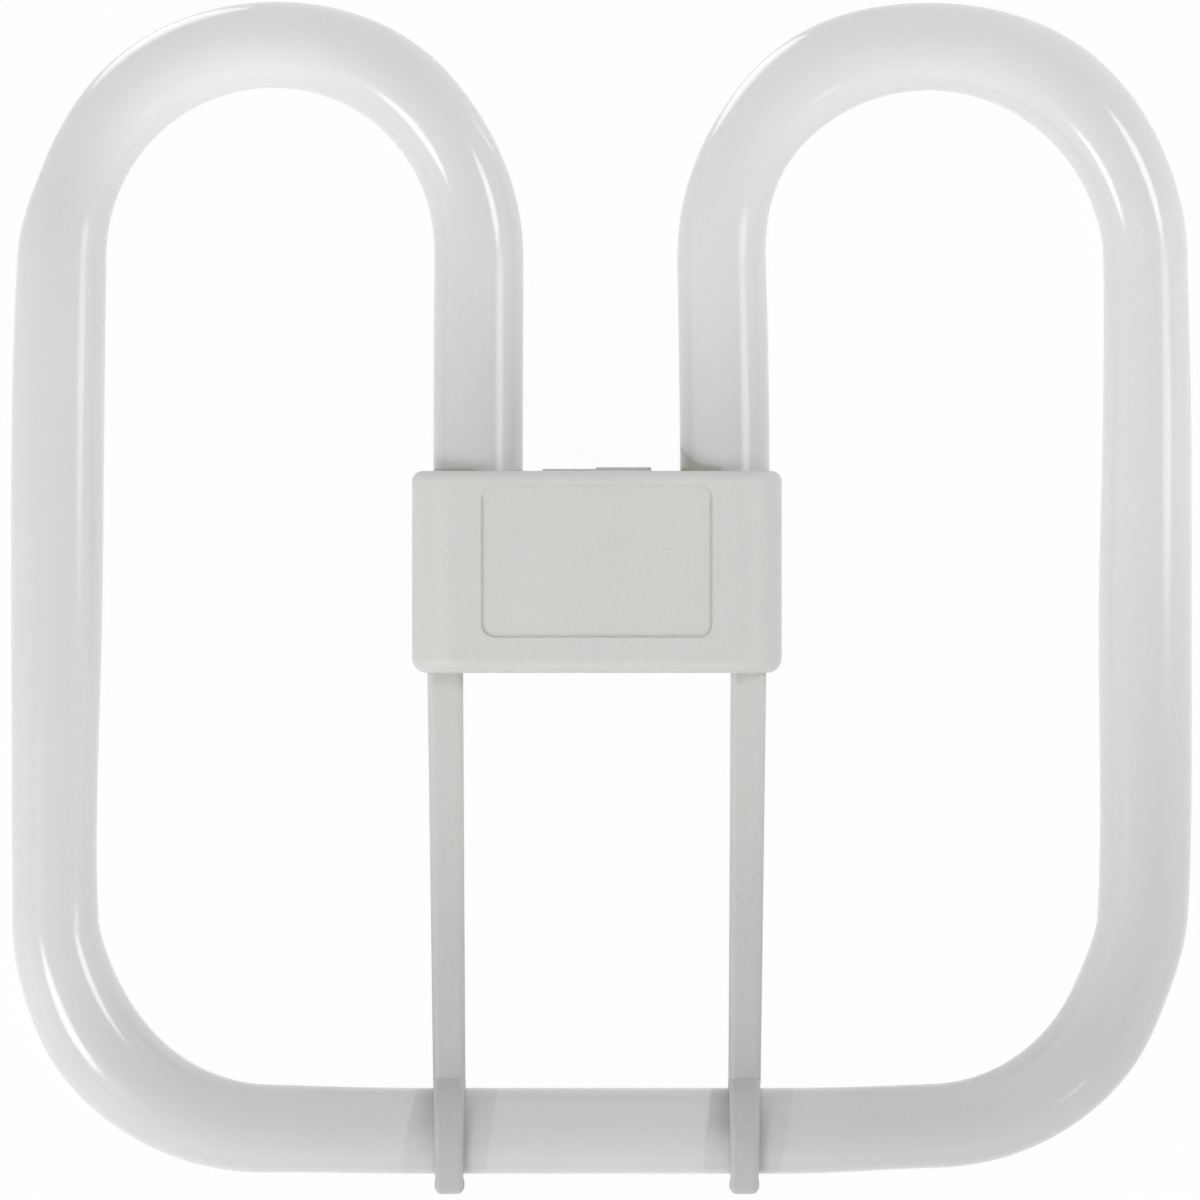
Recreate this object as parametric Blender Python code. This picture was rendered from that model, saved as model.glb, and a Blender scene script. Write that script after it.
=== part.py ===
"""Square compact fluorescent lamp with a plug-in cap, lying on the rim of its cap.

One glass tube is folded into two loops joined by a rail. Its two sealed ends meet in a moulded
cap, and two arms that are moulded with the cap's front shell clip round the rail and hold it.
+X runs to the right, +Y from the rail to the loops and +Z out of the front of the cap. The
origin is under the middle of the lamp, in the plane of the rim. Sizes are in metres.
"""

import math
from collections import namedtuple

import bmesh
import bpy
from mathutils import Vector

# Discharge tube
LAMP_WIDTH = 0.205
TUBE_DIAMETER = 0.0159
LEG_SPACING = 0.0428
LOOP_HEIGHT = 0.1518
CORNER_RADIUS = 0.0365
SHOULDER_LENGTH = 0.005
PINCH_LENGTH = 0.008
PINCH_WIDTH = 0.013
PINCH_THICKNESS = 0.0034
PINCH_SQUARENESS = 6.0

# Named places of each half. A stage is 0 at the inner leg's end, 1 and 2 at the loop's two ends,
# 3 and 4 at the corner's two ends and 5 in the middle of the rail.
Places = namedtuple(
    "Places", "knee rise arch apex fall haunch shoulder chest waist foot turn corner heel rail"
)
STAGES = Places(
    knee=1.0, rise=1.17, arch=1.32, apex=1.5, fall=1.7, haunch=1.88, shoulder=2.0,
    chest=2.23, waist=2.53, foot=2.92, turn=3.2, corner=3.42, heel=4.0, rail=4.45,
)

# Girth of the drawn glass there, in percent of the tube's diameter
SEAL_GIRTH = 98
LEFT_GIRTH = Places(
    knee=97.5, rise=93.5, arch=97, apex=94.5, fall=94, haunch=88.5, shoulder=97.5,
    chest=101.5, waist=100, foot=93, turn=102.5, corner=107.5, heel=96.5, rail=94,
)
RIGHT_GIRTH = Places(
    knee=97, rise=92.5, arch=99.5, apex=96, fall=101.5, haunch=95, shoulder=92.5,
    chest=96.5, waist=102, foot=99.5, turn=99.5, corner=101, heel=92, rail=94,
)

# How far the bent glass strays outwards from the mould's line there, in percent of its radius
LEFT_STRAY = Places(
    knee=1.5, rise=4, arch=9.5, apex=1.5, fall=-7.5, haunch=-19, shoulder=-11,
    chest=-3, waist=0, foot=5, turn=-5.5, corner=-5.5, heel=-5, rail=0,
)
RIGHT_STRAY = Places(
    knee=7, rise=12, arch=11, apex=-2.5, fall=-3, haunch=-6.5, shoulder=-1.5,
    chest=2, waist=-2, foot=-3, turn=-26, corner=-23, heel=-11, rail=0,
)

# Cap
CAP_LIFT = 0.097
CAP_SHIFT = 0.0008
CAP_HEIGHT = 0.035
CAP_WALL = 0.0015
CAP_TUBE_GAP = 0.0012
CAP_END_RADIUS = 0.008
CAP_TOP_FILLET = 0.0018
CAP_BOTTOM_FILLET = 0.0026
BULKHEAD_WALL = 0.0015
BULKHEAD_CLEARANCE = 0.001
LEAD_ROOM = 0.0065
LABEL_WIDTH = 0.0402
LABEL_HEIGHT = 0.0265
LABEL_CORNER = 0.0024
LABEL_DEPTH = 0.0003
LABEL_RISE = 0.00185
LEDGE_WIDTH = 0.0189
LEDGE_PROUD = 0.0007
LEDGE_DEPTH = 0.006

# Pegs that hold the two shells together
PEG_DIAMETER = 0.0024
PEG_LENGTH = 0.004
BOSS_WALL = 0.0015

# Arms and clips
ARM_SPREAD = 0.0263
CLIP_SPREAD = 0.0256
ARM_WIDTH = 0.0062
CLIP_WIDTH = 0.0056
CLIP_TIP_WIDTH = 0.0052
ARM_THICKNESS = 0.0036
ARM_SETBACK = 0.0005
ARM_EDGE = 0.0006
ARM_WALL = 0.0014
CHANNEL_DEPTH = 0.0022
CHANNEL_END = 0.004
CLIP_THICKNESS = 0.0022
CLIP_START_DEGREES = 125
CLIP_END_DEGREES = -100
LIP_RADIUS = 0.0017
LIP_CORNER = 0.0014

# Well that takes the lampholder
SKIRT_DEPTH = 0.009
SKIRT_WALL = 0.002
SKIRT_CORNER = 0.003
RIM_CHAMFER = 0.0004
WELL_MARGIN_X = 0.0075
WELL_MARGIN_Y = 0.0055
WELL_CHAMFER = 0.0005
KEY_SIZE = 0.002
LATCH_WIDTH = 0.008
LATCH_HEIGHT = 0.0022
LATCH_RIM = 0.002

# Contact pins and their leads
PIN_PITCH = 0.010
PIN_DIAMETER = 0.00235
PIN_REACH = 0.007
PIN_TIP_DEGREES = 80
FLANGE_DIAMETER = 0.004
FLANGE_THICKNESS = 0.0008
TAIL_DIAMETER = 0.0024
TAIL_LENGTH = 0.003
LEAD_DIAMETER = 0.0005
LEAD_BORE = 0.0012
LEAD_BORE_DEPTH = 0.004
LEAD_DIP = 0.0018
LEAD_SPACING = 0.005
CEMENT_THICKNESS = 0.0007

# Clearances and overlaps
PART_GAP = 0.0003
RIB_RELIEF = 0.0002
ROOT = 0.0005
OVERCUT = 0.002

# Facets
CREASE_DEGREES = 32
TUBE_SIDES = 24
TURNED_SIDES = 16
LEG_STEPS = 4
BEND_STEPS = 20
OUTER_LEG_STEPS = 10
CORNER_STEPS = 10
RAIL_STEPS = 4
ROUND_STEPS = 4
EDGE_STEPS = 2
CLIP_STEPS = 20
LEAD_STEPS = 4
LEAD_SIDES = 2

# Derived sizes
TUBE_RADIUS = TUBE_DIAMETER / 2
LEG_X = LEG_SPACING / 2
OUTER_X = LAMP_WIDTH / 2 - TUBE_RADIUS
TOP_BEND_X = (OUTER_X + LEG_X) / 2
TOP_BEND_RADIUS = (OUTER_X - LEG_X) / 2
SEAT_RADIUS = TUBE_RADIUS * SEAL_GIRTH / 100 + PART_GAP
CAP_HALF_WIDTH = LEG_X + TUBE_RADIUS + CAP_TUBE_GAP + CAP_WALL
CAP_HALF_DEPTH = TUBE_RADIUS + CAP_TUBE_GAP + CAP_WALL
CAP_HALF_HEIGHT = CAP_HEIGHT / 2
BULKHEAD_FOOT = (PIN_PITCH + FLANGE_DIAMETER) / 2 + BULKHEAD_CLEARANCE
BULKHEAD_TOP = BULKHEAD_FOOT + BULKHEAD_WALL
SEAL_TIP = CAP_LIFT - CAP_HALF_HEIGHT + CAP_WALL + LEAD_ROOM
LEG_END = SEAL_TIP + PINCH_LENGTH + SHOULDER_LENGTH
BOSS_RADIUS = PEG_DIAMETER / 2 + PART_GAP + BOSS_WALL
CLIP_START = math.radians(CLIP_START_DEGREES)
CLIP_END = math.radians(CLIP_END_DEGREES)
CLIP_INNER = TUBE_RADIUS * max(LEFT_GIRTH.rail, RIGHT_GIRTH.rail) / 100 + PART_GAP
CLIP_OUTER = CLIP_INNER + CLIP_THICKNESS
LIP_PLACE = CLIP_INNER + LIP_RADIUS
CLIP_DROP = LIP_RADIUS - LIP_PLACE * math.sin(CLIP_END)
APEX_REACH = TUBE_RADIUS * max(
    girth.apex + stray.apex for girth, stray in ((LEFT_GIRTH, LEFT_STRAY), (RIGHT_GIRTH, RIGHT_STRAY))
) / 100
LAMP_TOP = LOOP_HEIGHT + TOP_BEND_RADIUS + APEX_REACH
SEATED_STAGE = (CAP_LIFT + CAP_HALF_HEIGHT - LEG_END) / (LOOP_HEIGHT - LEG_END)
TUBE_PLANE = SKIRT_DEPTH + CAP_HALF_DEPTH
WELL_HALF_X = PIN_PITCH / 2 + WELL_MARGIN_X
WELL_HALF_Y = PIN_PITCH / 2 + WELL_MARGIN_Y

Station = namedtuple("Station", "x y out_x out_y half_width half_depth squareness")


def clear_scene():
    """Take away whatever the scene holds."""
    for obj in list(bpy.data.objects):
        bpy.data.objects.remove(obj, do_unlink=True)


def material(name, colour, roughness, metallic=0.0, coat=0.0):
    """A plain finish: colour in linear RGB, roughness, metal and clear coat."""
    finish = bpy.data.materials.new(name)
    finish.use_nodes = True
    shader = finish.node_tree.nodes["Principled BSDF"]
    shader.inputs["Base Color"].default_value = (*colour, 1.0)
    shader.inputs["Roughness"].default_value = roughness
    shader.inputs["Metallic"].default_value = metallic
    shader.inputs["Coat Weight"].default_value = coat
    return finish


def frame(name, location, parent=None):
    """An empty that the pieces of one assembly are placed from."""
    empty = bpy.data.objects.new(name, None)
    bpy.context.scene.collection.objects.link(empty)
    empty.parent = parent
    empty.location = location
    return empty


def steps(count):
    """The shares 0 to 1 in equal steps."""
    return [i / count for i in range(count + 1)]


def ease(start, end, share):
    """A value that leaves start and reaches end without a kink."""
    return start + (end - start) * (1 - math.cos(math.pi * share)) / 2


def rounded(half_u, half_v, radius, corner_steps=ROUND_STEPS):
    """A rectangle about the origin with round corners, anticlockwise."""
    points = []
    for turn, (u, v) in enumerate(((1, 1), (-1, 1), (-1, -1), (1, -1))):
        for share in steps(corner_steps):
            angle = math.pi / 2 * (turn + share)
            points.append(
                (
                    u * (half_u - radius) + radius * math.cos(angle),
                    v * (half_v - radius) + radius * math.sin(angle),
                )
            )
    return points


def circle(radius, sides):
    """A circle about the origin, anticlockwise."""
    return [
        (radius * math.cos(math.tau * i / sides), radius * math.sin(math.tau * i / sides))
        for i in range(sides)
    ]


def loft(name, rings, parent, finish=None, closed=False):
    """A solid skinned over rings of equally many points, capped unless the rings meet end to end."""
    bm = bmesh.new()
    loops = [[bm.verts.new(point) for point in ring] for ring in rings]
    pairs = list(zip(loops, loops[1:] + loops[:1]))
    for first, second in pairs if closed else pairs[:-1]:
        for i, corner in enumerate(first):
            bm.faces.new((first[i - 1], corner, second[i], second[i - 1]))
    if not closed:
        bm.faces.new(loops[0])
        bm.faces.new(loops[-1])
    bmesh.ops.recalc_face_normals(bm, faces=bm.faces)
    mesh = bpy.data.meshes.new(name)
    bm.to_mesh(mesh)
    bm.free()
    if finish:
        mesh.materials.append(finish)
    obj = bpy.data.objects.new(name, mesh)
    bpy.context.scene.collection.objects.link(obj)
    obj.parent = parent
    return obj


def along_y(outline, y, x=0.0, z=0.0):
    """Points of an outline in X and Z, at one height."""
    return [(x + u, y, z + v) for u, v in outline]


def along_z(outline, z, x=0.0, y=0.0):
    """Points of an outline in X and Y, at one depth."""
    return [(x + u, y + v, z) for u, v in outline]


def rod(name, parent, radius, low, high, x, other, axis="Z", sides=TURNED_SIDES):
    """A round bar between two places on its axis, which runs along Y or Z."""
    outline = circle(radius, sides)
    if axis == "Z":
        return loft(name, [along_z(outline, z, x, other) for z in (low, high)], parent)
    return loft(name, [along_y(outline, y, x, other) for y in (low, high)], parent)


def block(name, parent, low, high):
    """A box between two corners."""
    outline = [(low[0], low[1]), (high[0], low[1]), (high[0], high[1]), (low[0], high[1])]
    return loft(name, [along_z(outline, z) for z in (low[2], high[2])], parent)


def combine(body, tools):
    """Cut or join each tool in turn, then keep the result as the body's own smooth mesh."""
    for operation, tool in tools:
        boolean = body.modifiers.new(tool.name, "BOOLEAN")
        boolean.operation = operation
        boolean.object = tool
        tool.hide_render = True
        tool.display_type = "WIRE"
    bpy.context.view_layer.update()
    graph = bpy.context.evaluated_depsgraph_get()
    body.data = bpy.data.meshes.new_from_object(body.evaluated_get(graph))
    body.modifiers.clear()
    for _, tool in tools:
        bpy.data.objects.remove(tool, do_unlink=True)
    return shade(body)


def shade(body):
    """Smooth shading that stays crisp where two faces meet at more than the crease."""
    body.data.shade_smooth()
    body.data.set_sharp_from_angle(angle=math.radians(CREASE_DEGREES))
    return body


def course(side, stage):
    """A place on the mould's line of one half, and the way out of its bend there."""
    if stage <= 1:
        return side * LEG_X, LEG_END + (LOOP_HEIGHT - LEG_END) * stage, -side, 0
    if stage <= 2:
        angle = math.pi * (stage - 1)
        out_x, out_y = -side * math.cos(angle), math.sin(angle)
        x, y = side * TOP_BEND_X + TOP_BEND_RADIUS * out_x, LOOP_HEIGHT + TOP_BEND_RADIUS * out_y
        return x, y, out_x, out_y
    if stage <= 3:
        return side * OUTER_X, LOOP_HEIGHT + (CORNER_RADIUS - LOOP_HEIGHT) * (stage - 2), side, 0
    if stage <= 4:
        angle = math.pi / 2 * (stage - 3)
        out_x, out_y = side * math.cos(angle), -math.sin(angle)
        x, y = side * (OUTER_X - CORNER_RADIUS) + CORNER_RADIUS * out_x, CORNER_RADIUS + CORNER_RADIUS * out_y
        return x, y, out_x, out_y
    return side * (OUTER_X - CORNER_RADIUS) * (5 - stage), 0, 0, -1


def drawn(start, places, stage):
    """A value of the drawn glass at a stage: start in the cap, then smoothly through its places."""
    at, values = (SEATED_STAGE, *STAGES), (start, *places)
    if stage <= at[0] or stage >= at[-1]:
        return values[0] if stage <= at[0] else values[-1]
    i = max(k for k, mark in enumerate(at) if mark <= stage)

    def slope(k):
        if k in (0, len(at) - 1):
            return 0.0
        return (values[k + 1] - values[k - 1]) / (at[k + 1] - at[k - 1])

    span = at[i + 1] - at[i]
    share = (stage - at[i]) / span
    rest = 1 - share
    return (
        values[i] * rest * rest * (1 + 2 * share)
        + values[i + 1] * share * share * (3 - 2 * share)
        + span * share * rest * (slope(i) * rest - slope(i + 1) * share)
    )


def half_tube(side, girth, stray):
    """Stations of one half of the tube, from the tip of its seal to the start of the rail."""
    seal = TUBE_RADIUS * SEAL_GIRTH / 100
    stations = [
        Station(side * LEG_X, SEAL_TIP, -side, 0, PINCH_WIDTH / 2, PINCH_THICKNESS / 2, PINCH_SQUARENESS)
    ]
    for share in steps(2 * LEG_STEPS):
        y = LEG_END - SHOULDER_LENGTH * (1 - share)
        width = ease(PINCH_WIDTH / 2, seal, share)
        depth = ease(PINCH_THICKNESS / 2, seal, share)
        squareness = ease(PINCH_SQUARENESS, 2.0, share)
        stations.append(Station(side * LEG_X, y, -side, 0, width, depth, squareness))
    stages = [SEATED_STAGE]
    for start, end, count in (
        (SEATED_STAGE, 1, LEG_STEPS),
        (1, 2, BEND_STEPS),
        (2, 3, OUTER_LEG_STEPS),
        (3, 4, CORNER_STEPS),
        (4, STAGES.rail, RAIL_STEPS),
    ):
        stages += [start + (end - start) * share for share in steps(count)[1:]]
    for stage in stages:
        x, y, out_x, out_y = course(side, stage)
        radius = TUBE_RADIUS * drawn(SEAL_GIRTH, girth, stage) / 100
        shift = TUBE_RADIUS * drawn(0, stray, stage) / 100
        stations.append(Station(x + out_x * shift, y + out_y * shift, out_x, out_y, radius, radius, 2.0))
    return stations


def tube_ring(station):
    """The tube's section at one station: a superellipse, which is a circle at squareness 2."""
    points = []
    for cosine, sine in circle(1.0, TUBE_SIDES):
        out = station.half_width * math.copysign(abs(cosine) ** (2 / station.squareness), cosine)
        up = station.half_depth * math.copysign(abs(sine) ** (2 / station.squareness), sine)
        points.append((station.x + station.out_x * out, station.y + station.out_y * out, up))
    return points


def discharge_tube(lamp, glass):
    """The sealed glass tube: both halves run into one another along the rail."""
    left = half_tube(-1, LEFT_GIRTH, LEFT_STRAY)
    right = half_tube(1, RIGHT_GIRTH, RIGHT_STRAY)
    rings = [tube_ring(station) for station in left + right[::-1]]
    return shade(loft("discharge_tube", rings, lamp, glass))


def half_section(facing, inset, floor):
    """The cap's section in X and Z on one side of its joint, set in from the outside."""
    width = CAP_HALF_WIDTH - inset
    depth = CAP_HALF_DEPTH - inset
    radius = CAP_END_RADIUS - inset
    points = [(-width, facing * floor)]
    for share in steps(ROUND_STEPS * 2):
        angle = math.pi / 2 * share
        across = width - radius + radius * math.cos(angle)
        out = depth - radius + radius * math.sin(angle)
        points.append((-across, facing * out))
    points += [(-x, z) for x, z in points[::-1]]
    return points


def half_cap(name, cap, facing, finish=None):
    """The outside of one shell as a solid, with its end fillets."""
    rings = []
    for end, fillet in ((-1, CAP_BOTTOM_FILLET), (1, CAP_TOP_FILLET)):
        stations = []
        for share in steps(ROUND_STEPS):
            angle = math.pi / 2 * share
            y = end * (CAP_HALF_HEIGHT - fillet * (1 - math.cos(angle)))
            inset = fillet * (1 - math.sin(angle))
            stations.append(along_y(half_section(facing, inset, PART_GAP / 2), y))
        rings += stations if end < 0 else stations[::-1]
    return loft(name, rings, cap, finish)


def half_slab(name, cap, facing, inset, floor, low, high):
    """A straight stretch of the cap's half section, as a cavity cutter or a bulkhead."""
    section = half_section(facing, inset, floor)
    return loft(name, [along_y(section, y) for y in (low, high)], cap)


def peg_places():
    """Where the pegs stand: one on the bottom wall and one on the top wall beside each leg."""
    beside = LEG_X - CAP_SHIFT - SEAT_RADIUS - CEMENT_THICKNESS - ROOT - BOSS_RADIUS
    above = CAP_HALF_HEIGHT - CAP_WALL - BOSS_RADIUS + ROOT
    return (0.0, -above), (beside, above), (-beside, above)


def leg_seats(cap):
    """Cutters that let the tube's two legs into the cap's top wall and its bulkhead."""
    low = BULKHEAD_FOOT - OVERCUT
    return [
        rod(
            f"leg_seat_{side}",
            cap,
            SEAT_RADIUS,
            low,
            CAP_HALF_HEIGHT + OVERCUT,
            side * LEG_X + CAP_SHIFT,
            0.0,
            "Y",
            TUBE_SIDES,
        )
        for side in (-1, 1)
    ]


def shell_core(cap, facing):
    """What both shells share: the hollow, then the bulkhead that carries the legs."""
    hollow = half_slab(
        "hollow",
        cap,
        facing,
        CAP_WALL,
        -OVERCUT,
        -CAP_HALF_HEIGHT + CAP_WALL,
        CAP_HALF_HEIGHT - CAP_WALL,
    )
    bulkhead = half_slab(
        "bulkhead",
        cap,
        facing,
        CAP_WALL - ROOT,
        PART_GAP / 2 + RIB_RELIEF,
        BULKHEAD_FOOT,
        BULKHEAD_TOP,
    )
    return [("DIFFERENCE", hollow), ("UNION", bulkhead)]


def bosses(cap, facing):
    """Posts from the shell's face to the joint, which the pegs or their sockets stand in."""
    floor = facing * (PART_GAP / 2 + RIB_RELIEF)
    face = facing * (CAP_HALF_DEPTH - CAP_WALL + ROOT)
    return [
        ("UNION", rod("boss", cap, BOSS_RADIUS, floor, face, x, y)) for x, y in peg_places()
    ]


def arm_width(share):
    """Half the width of an arm, from the cap at 0 to the clip at 1."""
    return (ARM_WIDTH + (CLIP_WIDTH - ARM_WIDTH) * share) / 2


def arm(cap, side):
    """A bar from the cap's bottom wall to the clip, with a channel down its back."""
    top = -CAP_HALF_HEIGHT + CAP_WALL - ROOT
    foot = -CAP_LIFT + CLIP_INNER + ROOT
    middle = ARM_SETBACK + ARM_THICKNESS / 2
    rings = []
    for share, y, spread in ((0.0, top, ARM_SPREAD), (1.0, foot, CLIP_SPREAD)):
        outline = rounded(arm_width(share), ARM_THICKNESS / 2, ARM_EDGE, EDGE_STEPS)
        rings.append(along_y(outline, y, side * spread, middle))
    bar = loft("arm", rings, cap)
    rings = []
    for y in (-CAP_HALF_HEIGHT - CHANNEL_END, -CAP_LIFT + CLIP_OUTER + CHANNEL_END):
        share = (top - y) / (top - foot)
        half = arm_width(share) - ARM_WALL
        spread = ARM_SPREAD + (CLIP_SPREAD - ARM_SPREAD) * share
        back = ARM_SETBACK - OVERCUT
        face = ARM_SETBACK + CHANNEL_DEPTH
        outline = [(-half, back), (half, back), (half, face), (-half, face)]
        rings.append(along_y(outline, y, side * spread))
    return combine(bar, [("DIFFERENCE", loft("channel", rings, cap))])


def clip(cap, side):
    """A band bent round the rail, from its back over the top and the front to its underside."""
    rings = []
    for share in steps(CLIP_STEPS):
        angle = CLIP_START + (CLIP_END - CLIP_START) * share
        half = ease(CLIP_WIDTH, CLIP_TIP_WIDTH - LIP_CORNER / 2, share) / 2
        ring = []
        for across, out in rounded(half, CLIP_THICKNESS / 2, ARM_EDGE, EDGE_STEPS):
            reach = CLIP_INNER + CLIP_THICKNESS / 2 + out
            y = -CAP_LIFT + reach * math.sin(angle)
            ring.append((side * CLIP_SPREAD + across, y, reach * math.cos(angle)))
        rings.append(ring)
    return loft("clip", rings, cap)


def lip(cap, side):
    """The rounded bead along the clip's tip, by which the clip is pushed off the rail."""
    y = -CAP_LIFT + LIP_PLACE * math.sin(CLIP_END)
    z = LIP_PLACE * math.cos(CLIP_END)
    half = CLIP_TIP_WIDTH / 2
    profile = []
    for share in steps(ROUND_STEPS):
        angle = math.pi / 2 * share
        along = half - LIP_CORNER * (1 - math.cos(angle))
        profile.append((along, LIP_RADIUS - LIP_CORNER * (1 - math.sin(angle))))
    profile += [(-along, radius) for along, radius in profile[::-1]]
    rings = [
        [(side * CLIP_SPREAD + along, y + u, z + v) for u, v in circle(radius, TURNED_SIDES)]
        for along, radius in profile
    ]
    return loft("lip", rings, cap)


def housing_front(cap, plastic):
    """The front shell with its pegs, its label panel, both arms and both clips: one moulding."""
    body = half_cap("housing_front", cap, 1, plastic)
    tools = shell_core(cap, 1) + bosses(cap, 1)
    for x, y in peg_places():
        peg = rod("peg", cap, PEG_DIAMETER / 2, -PEG_LENGTH, CAP_HALF_DEPTH - CAP_WALL, x, y)
        tools.append(("UNION", peg))
    for side in (-1, 1):
        tools += [("UNION", make(cap, side)) for make in (arm, clip, lip)]
    tools += [("DIFFERENCE", seat) for seat in leg_seats(cap)]
    outline = rounded(LABEL_WIDTH / 2, LABEL_HEIGHT / 2, LABEL_CORNER)
    depths = (CAP_HALF_DEPTH - LABEL_DEPTH, CAP_HALF_DEPTH + OVERCUT)
    panel = loft("label_panel", [along_z(outline, z, 0.0, LABEL_RISE) for z in depths], cap)
    tools.append(("DIFFERENCE", panel))
    return combine(body, tools)


def skirt(cap):
    """The wall round the well as a solid, with a chamfered rim."""
    rim = -CAP_HALF_DEPTH - SKIRT_DEPTH
    rings = []
    for z, inset in (
        (-CAP_HALF_DEPTH + ROOT, 0.0),
        (rim + RIM_CHAMFER, 0.0),
        (rim, RIM_CHAMFER),
    ):
        half_x = WELL_HALF_X + SKIRT_WALL - inset
        half_y = WELL_HALF_Y + SKIRT_WALL - inset
        rings.append(along_z(rounded(half_x, half_y, SKIRT_CORNER - inset), z))
    return loft("skirt", rings, cap)


def well(cap):
    """The hollow inside the skirt, down to the shell's back face, with a lead-in at the rim."""
    rim = -CAP_HALF_DEPTH - SKIRT_DEPTH
    corner = SKIRT_CORNER - SKIRT_WALL
    rings = []
    for z, flare in (
        (-CAP_HALF_DEPTH + RIB_RELIEF, 0.0),
        (rim + WELL_CHAMFER, 0.0),
        (rim - WELL_CHAMFER, 2 * WELL_CHAMFER),
    ):
        outline = rounded(WELL_HALF_X + flare, WELL_HALF_Y + flare, corner + flare)
        rings.append(along_z(outline, z))
    return loft("well", rings, cap)


def well_details(cap):
    """The key rib in the well's lower wall and the latch windows in its end walls."""
    rim = -CAP_HALF_DEPTH - SKIRT_DEPTH
    tools = [
        (
            "UNION",
            block(
                "key",
                cap,
                (-KEY_SIZE / 2, -WELL_HALF_Y - SKIRT_WALL / 2, rim + KEY_SIZE),
                (KEY_SIZE / 2, -WELL_HALF_Y + KEY_SIZE, -CAP_HALF_DEPTH + ROOT),
            ),
        )
    ]
    for side in (-1, 1):
        ends = sorted((side * (WELL_HALF_X - OVERCUT), side * (WELL_HALF_X + SKIRT_WALL + OVERCUT)))
        window = block(
            "latch_window",
            cap,
            (ends[0], -LATCH_WIDTH / 2, rim + LATCH_RIM),
            (ends[1], LATCH_WIDTH / 2, rim + LATCH_RIM + LATCH_HEIGHT),
        )
        tools.append(("DIFFERENCE", window))
    return tools


def pin_places():
    """The corners of the square that the four pins stand on, by name."""
    half = PIN_PITCH / 2
    return {
        "upper_left": (-half, half),
        "upper_right": (half, half),
        "lower_left": (-half, -half),
        "lower_right": (half, -half),
    }


def housing_rear(cap, plastic):
    """The rear shell with its peg sockets, top ledge and the well for the lampholder."""
    body = half_cap("housing_rear", cap, -1, plastic)
    tools = shell_core(cap, -1) + bosses(cap, -1)
    ledge = block(
        "ledge",
        cap,
        (-LEDGE_WIDTH / 2, CAP_HALF_HEIGHT - CAP_WALL / 2, -PART_GAP / 2 - RIB_RELIEF - LEDGE_DEPTH),
        (LEDGE_WIDTH / 2, CAP_HALF_HEIGHT + LEDGE_PROUD, -PART_GAP / 2 - RIB_RELIEF),
    )
    tools += [("UNION", ledge), ("UNION", skirt(cap)), ("DIFFERENCE", well(cap))]
    tools += well_details(cap)
    tools += [("DIFFERENCE", seat) for seat in leg_seats(cap)]
    for x, y in peg_places():
        socket = rod("socket", cap, PEG_DIAMETER / 2 + PART_GAP, -PEG_LENGTH - PART_GAP, OVERCUT, x, y)
        tools.append(("DIFFERENCE", socket))
    plate = (-CAP_HALF_DEPTH - OVERCUT, -CAP_HALF_DEPTH + CAP_WALL + OVERCUT)
    for x, y in pin_places().values():
        tools.append(("DIFFERENCE", rod("pin_hole", cap, PIN_DIAMETER / 2 + PART_GAP, *plate, x, y)))
    return combine(body, tools)


def cement_ring(cap, name, side, cement):
    """The cement between a leg and the shells, from the bulkhead to the top wall."""
    low = BULKHEAD_TOP + PART_GAP
    high = CAP_HALF_HEIGHT - CAP_WALL - PART_GAP
    outer = circle(SEAT_RADIUS + CEMENT_THICKNESS, TUBE_SIDES)
    inner = circle(SEAT_RADIUS, TUBE_SIDES)
    x = side * LEG_X + CAP_SHIFT
    places = ((outer, low), (outer, high), (inner, high), (inner, low))
    ring = loft(name, [along_y(outline, y, x) for outline, y in places], cap, cement, closed=True)
    inset = CAP_WALL + PART_GAP
    room = rounded(CAP_HALF_WIDTH - inset, CAP_HALF_DEPTH - inset, CAP_END_RADIUS - inset)
    limit = loft("room", [along_y(room, y) for y in (low - OVERCUT, high + OVERCUT)], cap)
    return combine(ring, [("INTERSECT", limit)])


def contact_pin(cap, name, x, y, brass):
    """A turned pin: round tip, shank through the shell, flange, and a hollow tail for its lead."""
    tip = -CAP_HALF_DEPTH - PIN_REACH
    flange = -CAP_HALF_DEPTH + CAP_WALL + PART_GAP
    tail = flange + FLANGE_THICKNESS
    end = tail + TAIL_LENGTH
    shank = PIN_DIAMETER / 2
    profile = []
    for share in steps(ROUND_STEPS):
        angle = math.radians(PIN_TIP_DEGREES) * (1 - share)
        profile.append((shank * math.cos(angle), tip + shank * (1 - math.sin(angle))))
    profile += [
        (shank, flange),
        (FLANGE_DIAMETER / 2, flange),
        (FLANGE_DIAMETER / 2, tail),
        (TAIL_DIAMETER / 2, tail),
        (TAIL_DIAMETER / 2, end),
        (LEAD_BORE / 2, end),
        (LEAD_BORE / 2, end - LEAD_BORE_DEPTH),
    ]
    rings = [along_z(circle(radius, TURNED_SIDES), z, x, y) for radius, z in profile]
    return shade(loft(name, rings, cap, brass))


def smooth_route(points):
    """Points along a smooth curve through a route's own points."""
    ends = [points[0] * 2 - points[1], *points, points[-1] * 2 - points[-2]]
    route = []
    for before, start, end, after in zip(ends, ends[1:], ends[2:], ends[3:]):
        for share in steps(LEAD_STEPS)[:-1]:
            bend = (before * 2 - start * 5 + end * 4 - after) * share**2
            twist = (start * 3 - before - end * 3 + after) * share**3
            route.append((start * 2 + (end - before) * share + bend + twist) / 2)
    return [*route, points[-1]]


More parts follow.
